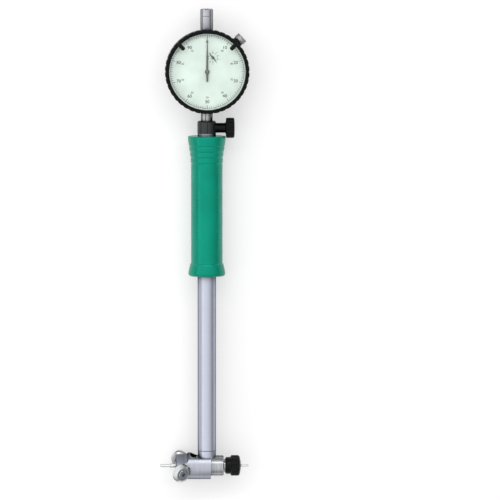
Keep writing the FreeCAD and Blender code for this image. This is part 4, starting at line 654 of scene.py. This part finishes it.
class GAUGE_OT_bezel(bpy.types.Operator):
    """Gripped bezel, crystal, limit markers and the bezel's knurled clamp screw"""
    bl_idname = "gauge.bezel"
    bl_label = "Bezel and Crystal"

    def execute(self, context):
        finish = context.scene.gauge_finish
        enamel = coated("bezel_enamel", finish.black_enamel, tone(60, 66, 64), rough=0.42, wear=0.5,
                        grain=3500.0, specular=0.1)
        dress(enamel, "bezel")
        marker = coated("marker_enamel", scaled_colour(finish.black_enamel, 0.8), tone(50, 52, 52),
                        rough=0.4, wear=0.4, specular=0.15)
        dress(marker, "limit_marker_left", "limit_marker_right")
        dress(self.clear_material(), "crystal")
        knob = steel("bezel_screw_steel", finish.knob_steel, every_way(2200.0), rough=0.3)
        self.knob(knob)
        return {"FINISHED"}

    def clear_material(self):
        """Clear acrylic that lets the light through to the dial."""
        material, tree, surface = blank_material("clear_crystal")
        surface.inputs["Base Color"].default_value = (0.985, 1.0, 0.992, 1.0)
        surface.inputs["Transmission Weight"].default_value = 1.0
        surface.inputs["IOR"].default_value = 1.49
        touch = placed(tree, "Handling", Size=60.0, Specks=0.2)
        tree.links.new(stretch(tree, touch["Smudge"], 0.0, 1.0, 0.0, 0.02), surface.inputs["Roughness"])
        path = tree.nodes.new("ShaderNodeLightPath")
        open_way = tree.nodes.new("ShaderNodeBsdfTransparent")
        open_way.inputs["Color"].default_value = (0.97, 0.985, 0.98, 1.0)
        mix = tree.nodes.new("ShaderNodeMixShader")
        tree.links.new(path.outputs["Is Shadow Ray"], mix.inputs[0])
        tree.links.new(surface.outputs[0], mix.inputs[1])
        tree.links.new(open_way.outputs[0], mix.inputs[2])
        show(tree, mix.outputs[0])
        return material

    def knob(self, material):
        """Knurled head of the clamp screw, in place of its plain solid."""
        joint = joint_of("bezel_screw_turn")
        axis, origin = Vector(joint["axis"]), Vector(joint["pos_m"])
        points = [Vector(v.co) for v in gauge["bezel_clamp_screw"].data.vertices]
        reach = [(p - origin).dot(axis) for p in points]
        width = [((p - origin) - axis * (p - origin).dot(axis)).length for p in points]
        start, end, radius = min(reach), max(reach), max(width)
        shank = min(w for w in width if w > 0.5 * MM)
        face = min(r for r, w in zip(reach, width) if w > radius * 0.8)
        chamfer, dish = 0.5 * MM, 0.25 * MM
        profile = [(0.0, start), (shank, start), (shank, face), (radius - chamfer, face),
                   (radius, face + chamfer)]
        profile += rows_along(radius, face + 0.55 * MM, end - face - 1.1 * MM, 12)
        profile += [(radius, end - chamfer), (radius - chamfer, end), (radius * 0.62, end),
                    (radius * 0.55, end - dish), (0.0, end - dish)]
        diamonds = knurl(radius, face + 0.6 * MM, end - 0.6 * MM, 30, 0.22 * MM, True)
        piece = turned_piece("bezel_screw_knurled", profile, along(axis, origin), 144, material,
                             "bezel_screw", 30.0, diamonds)
        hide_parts("bezel_clamp_screw")


def knurl(radius, low, high, count, depth, crossed):
    """Radius of a knurled rim: straight ribs, or crossed ones that leave small diamonds."""
    def radius_at(r, height, angle):
        if r < radius - 1e-6 or height < low or height > high:
            return r
        turns = angle * count / (2 * math.pi)
        if not crossed:
            rib = abs((turns % 1.0) - 0.5) * 2
            return r - depth * (1.0 - min(1.0, 1.6 * rib))
        climb = (height - low) / (2 * math.pi * radius / count)
        first = abs(((turns + climb) % 1.0) - 0.5) * 2
        second = abs(((turns - climb) % 1.0) - 0.5) * 2
        return r - depth * (1.0 - min(first, second))
    return radius_at


class GAUGE_OT_dial(bpy.types.Operator):
    """Dial, scale ring and their printing"""
    bl_idname = "gauge.dial"
    bl_label = "Dial"

    def execute(self, context):
        finish = context.scene.gauge_finish
        sizes = context.scene.gauge_dial
        face = coated("dial_enamel", finish.dial_mint, tone(210, 226, 218), rough=0.5, grain=1800.0,
                      bump=0.05, wear=0.2, width=0.0001)
        dress(face, "dial_plate", "scale_ring")
        ink = coated("dial_ink", finish.print_ink, tone(80, 90, 86), rough=0.55, bump=0.05, wear=0.0)
        faint = coated("dial_ink_pale", tone(70, 82, 76), tone(90, 100, 96), rough=0.55, bump=0.05, wear=0.0)
        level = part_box("scale_ring")[1].z
        top = level + sizes.ink_thickness
        build = bmesh.new()
        for step in range(sizes.divisions):
            angle = 2 * math.pi * step / sizes.divisions
            tenth, fifth = step % 10 == 0, step % 5 == 0
            long = sizes.scale_long if tenth else (sizes.scale_short * 1.35 if fifth else sizes.scale_short)
            width = (0.34 if tenth else 0.28 if fifth else 0.24) * MM
            bar(build, sizes.scale_outside - long, sizes.scale_outside, width, angle, level, top)
        band(build, sizes.scale_outside, sizes.scale_outside + 0.2 * MM, level, top)
        mesh_object("scale_graduations", build, ink, "turning_bezel", 20.0)
        thickness = sizes.ink_thickness
        build = bmesh.new()
        numbers_round(build, [str(tenth * 10) for tenth in range(10)], sizes.numeral_height,
                      sizes.numeral_radius, level, thickness)
        mesh_object("scale_numerals", build, ink, "turning_bezel", 20.0)
        build = bmesh.new()
        numbers_round(build, [str((100 - tenth * 10) % 100) for tenth in range(10)], sizes.inner_height,
                      sizes.inner_radius, level, thickness)
        mesh_object("scale_inner_numerals", build, faint, "turning_bezel", 20.0)
        build = bmesh.new()
        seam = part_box("dial_plate")[1].x
        band(build, seam - 0.35 * MM, seam + 0.6 * MM, level - 0.005 * MM, level + 0.012 * MM)
        mesh_object("scale_ring_lip", build, face, "turning_bezel", 20.0)
        self.counter(ink, sizes)
        return {"FINISHED"}

    def counter(self, ink, sizes):
        """Print of the small counter dial, on the floor of its recess."""
        x0, y0 = joint_of("counter_turn")["pos_m"][:2]
        recess, inside, outside, width = 0.25 * MM, 4.05 * MM, 4.6 * MM, 0.26 * MM
        height, circle = 1.15 * MM, 3.2 * MM
        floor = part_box("dial_plate")[1].z - recess
        ticks = bmesh.new()
        for step in range(10):
            bar(ticks, inside, outside, width, 2 * math.pi * step / 10, floor, floor + sizes.ink_thickness)
        bmesh.ops.translate(ticks, verts=ticks.verts, vec=(x0, y0, 0.0))
        mesh_object("counter_graduations", ticks, ink, "holder", 20.0)
        build = bmesh.new()
        numbers_round(build, [str(step) for step in range(10)], height, circle, floor, sizes.ink_thickness,
                      (x0, y0))
        mesh_object("counter_numerals", build, ink, "holder", 20.0)


class GAUGE_OT_pointers(bpy.types.Operator):
    """Both pointers and the gear train behind the dial"""
    bl_idname = "gauge.pointers"
    bl_label = "Pointers and Movement"

    def execute(self, context):
        finish = context.scene.gauge_finish
        paint = coated("pointer_paint", finish.pointer_grey, tone(110, 118, 112), rough=0.35, wear=0.4,
                       width=0.00008)
        dress(paint, "main_pointer", "counter_pointer")
        hub = steel("hub_bright", finish.bright_steel, every_way(1500.0), rough=0.3)
        self.cap("main_hub_cap", "main_pointer", "centre_pinion", "pointer_turn", "pointer_arbor",
                 1.0 * MM, 0.35 * MM, hub)
        self.cap("counter_hub_cap", "counter_pointer", "counter_wheel", "counter_turn", "counter_arbor",
                 0.68 * MM, 0.25 * MM, paint)
        brass = steel("movement_brass", finish.brass, (3000.0, 3000.0, 300.0), rough=0.3)
        dress(brass, "rack_pinion", "counter_wheel", "centre_pinion", "movement_plate", "rod_bush_lower",
              "rod_bush_upper")
        return {"FINISHED"}

    def cap(self, name, pointer, arbor, joint, body, radius, height, material):
        """Small domed cap over the end of an arbor, on top of its pointer."""
        centre = Vector(joint_of(joint)["pos_m"])
        base = max(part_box(pointer)[1].z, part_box(arbor)[1].z)
        profile = [(0.0, base - 0.05 * MM), (radius, base - 0.05 * MM), (radius, base)]
        steps = 6
        for step in range(1, steps):
            angle = math.pi / 2 * step / steps
            profile.append((radius * math.cos(angle), base + height * math.sin(angle)))
        profile.append((0.0, base + height))
        place = Matrix.Translation((centre.x, centre.y, 0.0))
        turned_piece(name, profile, place, 32, material, body, 50.0)


class GAUGE_OT_clamp(bpy.types.Operator):
    """Clamp collar and its black knurled screw"""
    bl_idname = "gauge.clamp"
    bl_label = "Stem Clamp"

    def execute(self, context):
        finish = context.scene.gauge_finish
        collar = coated("collar_oxide", finish.oxide, tone(130, 132, 134), rough=0.34, wear=0.7, metallic=0.6,
                        grain=3000.0)
        dress(collar, "clamp_collar")
        knob = coated("clamp_knob_oxide", finish.black_oxide, tone(60, 62, 66), rough=0.36, wear=0.5,
                      specular=0.12)
        low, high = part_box("clamp_screw")
        radius = (high.y - low.y) / 2
        shank, neck, neck_start, head_length, chamfer = 1.5 * MM, 3.35 * MM, 5.7 * MM, 5.7 * MM, 0.6 * MM
        head = high.x - head_length
        profile = [(0.0, low.x), (shank, low.x), (shank, neck_start), (neck, neck_start),
                   (neck, head - 1.1 * MM), (3.5 * MM, head - 0.6 * MM), (4.2 * MM, head),
                   (radius - chamfer, head), (radius, head + chamfer)]
        profile += rows_along(radius, head + 0.65 * MM, high.x - head - 1.3 * MM, 8)
        profile += [(radius, high.x - chamfer), (radius - 0.7 * MM, high.x), (radius * 0.55, high.x),
                    (radius * 0.5, high.x - 0.3 * MM), (0.0, high.x - 0.3 * MM)]
        ribs = knurl(radius, head + chamfer, high.x - chamfer, 32, 0.3 * MM, False)
        place = along(X_AXIS, Vector((0.0, *middle_of("clamp_screw"))))
        piece = turned_piece("clamp_knob_ribbed", profile, place, 192, knob, "collar_screw", 30.0, ribs)
        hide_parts("clamp_screw")
        return {"FINISHED"}


# The handle's outline in millimetres: radius and height over its lower end, radius and depth under its
# upper end, and between them radius and depth of the bands with their grooves.
GRIP_FOOT = ((11.2, 0.0), (11.9, 0.25), (12.35, 0.75), (12.6, 1.5), (12.65, 2.4), (12.45, 3.6), (12.0, 5.6),
             (11.6, 7.4), (11.42, 8.2), (11.2, 8.5), (10.9, 8.7), (10.8, 9.3), (10.78, 11.0))
GRIP_FLANGE = ((12.88, 1.9), (12.9, 1.0), (12.82, 0.5), (12.6, 0.15), (12.1, 0.0))
GRIP_BANDS = ((2.6, 12.85), (7.1, 12.25), (10.9, 11.55), (14.7, 11.05), (18.8, 10.87), (22.0, 10.78))
GRIP_GROOVES = (7.1, 10.9, 14.7, 18.8)


class GAUGE_OT_grip(bpy.types.Operator):
    """Moulded green handle"""
    bl_idname = "gauge.grip"
    bl_label = "Grip"

    def execute(self, context):
        finish = context.scene.gauge_finish
        green = finish.grip_green
        plastic = coated("grip_plastic", green, scaled_colour(green, WORN_GAIN), rough=0.27, grain=1500.0,
                         bump=0.25, wear=0.35, specular=0.9, gloss_tint=(0.1, 1.0, 0.9))
        low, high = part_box("grip")
        bore = (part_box("tube")[1].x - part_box("tube")[0].x) / 2 + 0.02 * MM
        shorter = 1.3 * MM
        place = along(Y_AXIS, Vector((0.0, 0.0, (low.z + high.z) / 2)))
        piece = turned_piece("grip_moulding", self.profile(bore, low.y + shorter, high.y), place, 128,
                             plastic, "holder", 50.0)
        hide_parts("grip")
        return {"FINISHED"}

    def profile(self, bore, low, high):
        """Outline of the handle from its lower end to its upper end, as radius and height."""
        points = [(radius, low + height * MM) for radius, height in GRIP_FOOT]
        waist, foot = GRIP_FOOT[-1]
        for step in range(1, 8):
            points.append((waist, low + foot * MM + (high - low - 33.0 * MM) * step / 8))
        deepest, rows = GRIP_BANDS[-1][0], 110
        for row in range(rows + 1):
            depth = deepest - 19.4 * row / rows
            points.append((self.taper(depth), high - depth * MM))
        points += [(radius, high - depth * MM) for radius, depth in GRIP_FLANGE]
        return [(bore, low)] + [(radius * MM, height) for radius, height in points] + [(bore, high)]

    def taper(self, depth):
        """Radius in millimetres below the flange: bands that bulge a little between soft grooves."""
        bulge, groove_half, groove_depth = 0.12, 0.75, 0.32
        radius = GRIP_BANDS[-1][1]
        for (start, first), (end, second) in zip(GRIP_BANDS, GRIP_BANDS[1:]):
            if start <= depth <= end:
                share = (depth - start) / (end - start)
                radius = first + (second - first) * share
                if GRIP_GROOVES[0] <= depth <= GRIP_GROOVES[-1]:
                    radius += bulge * math.sin(math.pi * share)
                break
        for groove in GRIP_GROOVES:
            gap = abs(depth - groove) / groove_half
            if gap < 1.0:
                radius -= groove_depth * (0.5 + 0.5 * math.cos(math.pi * gap))
        return radius


class GAUGE_OT_tube(bpy.types.Operator):
    """Long tube, push rod and the collar above the head"""
    bl_idname = "gauge.tube"
    bl_label = "Tube"

    def execute(self, context):
        finish = context.scene.gauge_finish
        # Painted shade: the long reach darkens the tube's and collar's sides that face the table
        satin = steel("tube_satin", finish.tube_steel, (90.0, 16000.0, 90.0), rough=0.36, spread=0.04,
                      contrast=0.05, bump=0.06, painted_shade=1.0, reach=0.1)
        dress(satin, "tube", "head_collar")
        # Painted shade: a dark ring in the collar's groove stands for its shadow
        self.seal()
        ground = steel("rod_ground", finish.bright_steel, (120.0, 9000.0, 120.0), rough=0.22)
        dress(ground, "push_rod", "bell_crank", "crank_pin", "guide_screw")
        return {"FINISHED"}

    def seal(self):
        """Dark ring that lies in the groove between the tube and the collar: painted shade standing for the
        groove's shadow, a ring the real gauge lacks.
        """
        shade_dark = coated("groove_shade_dark", tone(24, 26, 28), tone(40, 42, 44), rough=0.6, wear=0.1, specular=0.2)
        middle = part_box("tube")[0].y - 0.2 * MM
        half, inside, outside, crown = 0.19 * MM, 5.82 * MM, 6.02 * MM, 6.08 * MM
        profile = [(inside, middle - half), (outside, middle - half), (crown, middle),
                   (outside, middle + half), (inside, middle + half)]
        place = along(Y_AXIS, Vector((0.0, 0.0, middle_of("tube")[1])))
        turned_piece("collar_groove_shade_ring", profile, place, 96, shade_dark, "holder", 40.0)


class GAUGE_OT_head(bpy.types.Operator):
    """Barrel, bridge, wheels and spring of the measuring head"""
    bl_idname = "gauge.head"
    bl_label = "Measuring Head"

    def execute(self, context):
        finish = context.scene.gauge_finish
        # Painted shade: the long reach darkens barrel, bridge and wheels near each other, in the bridge's
        # notch and on faces turned to the table
        turned = steel("barrel_turned", finish.barrel_steel, (3600.0, 90.0, 90.0), rough=0.22, contrast=0.3,
                       bump=0.5, painted_shade=0.8, reach=0.06)
        dress(turned, "head_body")
        milled = steel("bridge_milled", finish.bridge_steel, (4200.0, 120.0, 120.0), rough=0.33,
                       contrast=0.12, bump=0.3, painted_shade=1.0, reach=0.06)
        self.bridge(milled)
        bright = steel("wheel_bright", finish.wheel_steel, every_way(1800.0), rough=0.2, spread=0.05,
                       contrast=0.05, bump=0.1, painted_shade=0.9, reach=0.05)
        dress(bright, "wheel_front", "wheel_rear")
        screws = steel("axle_ground", finish.bridge_steel, every_way(1800.0), rough=0.25, spread=0.05,
                       contrast=0.1, bump=0.1)
        dress(screws, "axle_screw_front", "axle_screw_rear")
        wire = steel("spring_wire", finish.bridge_steel, every_way(2000.0), rough=0.28)
        self.spring(wire)
        return {"FINISHED"}

    def bridge(self, material):
        """The bridge with its flat milled down towards the front wheel, in place of its plainer solid."""
        seats = [Vector(joint_of(name)["pos_m"]) for name in ("front_wheel_spin", "rear_wheel_spin")]
        across = (seats[0] - seats[1]).normalized()
        above = across.cross(Vector(X_AXIS))
        axis = Vector((0.0, *middle_of("anvil")))
        end, start, flat, corner, clear = -23.0 * MM, -15.4 * MM, 5.0 * MM, 2.6 * MM, 13.0 * MM
        outline = [(end, clear), (end, flat), (start, flat)]
        for step in range(1, 13):
            angle = math.pi / 2 * step / 12
            outline.append((start + corner * math.sin(angle), flat + corner * (1.0 - math.cos(angle))))
        outline.append((start + corner, clear))
        cutter = bmesh.new()
        sides = [[cutter.verts.new(axis + Vector((x, 0.0, 0.0)) + above * y + across * reach)
                  for x, y in outline] for reach in (-clear, clear)]
        cutter.faces.new(sides[0])
        cutter.faces.new(list(reversed(sides[1])))
        for index in range(len(outline)):
            after = (index + 1) % len(outline)
            cutter.faces.new((sides[0][index], sides[0][after], sides[1][after], sides[1][index]))
        bmesh.ops.recalc_face_normals(cutter, faces=cutter.faces)
        tool_mesh = bpy.data.meshes.new("flat_cutter")
        cutter.to_mesh(tool_mesh)
        cutter.free()
        tool = bpy.data.objects.new("flat_cutter", tool_mesh)
        build = bmesh.new()
        build.from_mesh(gauge["bridge"].data)
        bmesh.ops.transform(build, matrix=gauge["bridge"].matrix_world, verts=build.verts)
        bmesh.ops.remove_doubles(build, verts=build.verts, dist=0.0005 * MM)
        plain = bpy.data.meshes.new("bridge_plain")
        build.to_mesh(plain)
        build.free()
        blank = bpy.data.objects.new("bridge_plain", plain)
        for item in (tool, blank):
            bpy.context.scene.collection.objects.link(item)
        cut = blank.modifiers.new("flat", "BOOLEAN")
        cut.operation = "DIFFERENCE"
        cut.solver = "EXACT"
        cut.object = tool
        milled = evaluated_mesh(blank)
        build = bmesh.new()
        build.from_mesh(milled)
        for item in (tool, blank):
            bpy.data.objects.remove(item)
        for mesh in (tool_mesh, plain, milled):
            bpy.data.meshes.remove(mesh)
        piece = mesh_object("bridge_milled_flat", build, material, "centring_bridge", 20.0)
        even = piece.modifiers.new("even", "WEIGHTED_NORMAL")
        even.keep_sharp = True
        even.mode = "FACE_AREA"
        even.weight = 100
        shaded = evaluated_mesh(piece)
        piece.modifiers.clear()
        piece.data = shaded
        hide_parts("bridge")

    def spring(self, material):
        """Round-wire spring with closed ends."""
        low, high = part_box("bridge_spring")
        wire = 0.35 * MM
        coil = (high.y - low.y) / 2 - wire
        middle = Vector((0.0, *middle_of("bridge_spring")))
        turns, steps, sides = 4.0, 48, 12
        start, end = low.x + wire, high.x - wire
        build = bmesh.new()
        rings = []
        count = int(turns * steps)
        for step in range(count + 1):
            turned = turns * step / count
            share = min(max((turned - 0.5) / (turns - 1.0), 0.0), 1.0)
            x = start + (end - start) * share
            angle = 2 * math.pi * turned
            out = Vector((0.0, math.cos(angle), math.sin(angle)))
            centre = middle + out * coil + Vector((x, 0.0, 0.0))
            ring = []
            for side in range(sides):
                swing = 2 * math.pi * side / sides
                ring.append(build.verts.new(centre + out * (wire * math.cos(swing))
                                            + Vector((wire * math.sin(swing), 0.0, 0.0))))
            rings.append(ring)
        for first, second in zip(rings, rings[1:]):
            for side in range(sides):
                after = (side + 1) % sides
                build.faces.new((first[side], first[after], second[after], second[side]))
        build.faces.new(list(reversed(rings[0])))
        build.faces.new(rings[-1])
        bmesh.ops.recalc_face_normals(build, faces=build.faces)
        piece = mesh_object("bridge_spring_coil", build, material, "holder", 60.0)
        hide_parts("bridge_spring")
        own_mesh(piece)


class GAUGE_OT_contacts(bpy.types.Operator):
    """Moving contact, anvil, washer and the knurled lock nut"""
    bl_idname = "gauge.contacts"
    bl_label = "Contacts"

    def execute(self, context):
        finish = context.scene.gauge_finish
        polished = steel("contact_polished", finish.wheel_steel, (6000.0, 200.0, 200.0), rough=0.2,
                         spread=0.04, contrast=0.05, bump=0.08)
        dress(polished, "contact_plunger", "contact_pin", "anvil", "anvil_washer")
        oxide = coated("nut_oxide", finish.black_oxide, tone(70, 72, 76), rough=0.32, wear=0.5,
                       specular=0.14)
        low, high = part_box("lock_nut")
        big = (high.y - low.y) / 2
        collar, bore, tip, chamfer, dome = 5.8 * MM, 2.05 * MM, 0.85 * MM, 0.6 * MM, 2.6 * MM
        rim = low.x + 3.6 * MM
        shoulder = rim + 5.0 * MM
        bore_end = low.x + 7.9 * MM
        profile = [(bore, low.x), (5.2 * MM, low.x), (collar, low.x + chamfer), (collar, rim),
                   (big - chamfer, rim), (big, rim + chamfer)]
        profile += rows_along(big, rim + 0.65 * MM, shoulder - rim - 0.9 * MM, 10)
        for step in range(1, 9):
            angle = math.pi / 2 * step / 8
            profile.append((big - dome + dome * math.cos(angle) - 0.12 * MM * step / 8,
                            shoulder + 1.5 * MM * math.sin(angle)))
        profile += [(big * 0.42, high.x), (tip, high.x), (tip, bore_end), (bore, bore_end)]
        ribs = knurl(big, rim + chamfer, shoulder - 0.2 * MM, 30, 0.3 * MM, False)
        place = along(X_AXIS, Vector((0.0, *middle_of("lock_nut"))))
        piece = turned_piece("lock_nut_ribbed", profile, place, 180, oxide, "anvil_nut", 30.0, ribs)
        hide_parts("lock_nut")
        return {"FINISHED"}


class GAUGE_PT_panel(bpy.types.Panel):
    """Builds the gauge's finish piece by piece"""
    bl_label = "Dial Bore Gauge"
    bl_idname = "GAUGE_PT_panel"
    bl_space_type = "VIEW_3D"
    bl_region_type = "UI"
    bl_category = "Bore Gauge"

    def draw(self, context):
        layout = self.layout
        for operator in OPERATORS:
            layout.operator(operator.bl_idname)
        for group in (getattr(context.scene, name) for name in SETTINGS):
            column = layout.column(align=True)
            for name in group.__annotations__:
                column.prop(group, name)


OPERATORS = (GAUGE_OT_case, GAUGE_OT_bezel, GAUGE_OT_dial, GAUGE_OT_pointers, GAUGE_OT_clamp, GAUGE_OT_grip,
             GAUGE_OT_tube, GAUGE_OT_head, GAUGE_OT_contacts, GAUGE_OT_stage)
SETTINGS = {"gauge_finish": GaugeFinish, "gauge_dial": GaugeDial, "gauge_stage": GaugeStage}
CLASSES = (*SETTINGS.values(), *OPERATORS, GAUGE_PT_panel)


def register():
    for item in CLASSES:
        bpy.utils.register_class(item)
    for name, group in SETTINGS.items():
        setattr(bpy.types.Scene, name, PointerProperty(type=group))


def unregister():
    for name in SETTINGS:
        delattr(bpy.types.Scene, name)
    for item in reversed(CLASSES):
        bpy.utils.unregister_class(item)


def main():
    register()
    for operator in OPERATORS:
        getattr(bpy.ops.gauge, operator.bl_idname.partition(".")[2])()


if __name__ == "__main__":
    main()
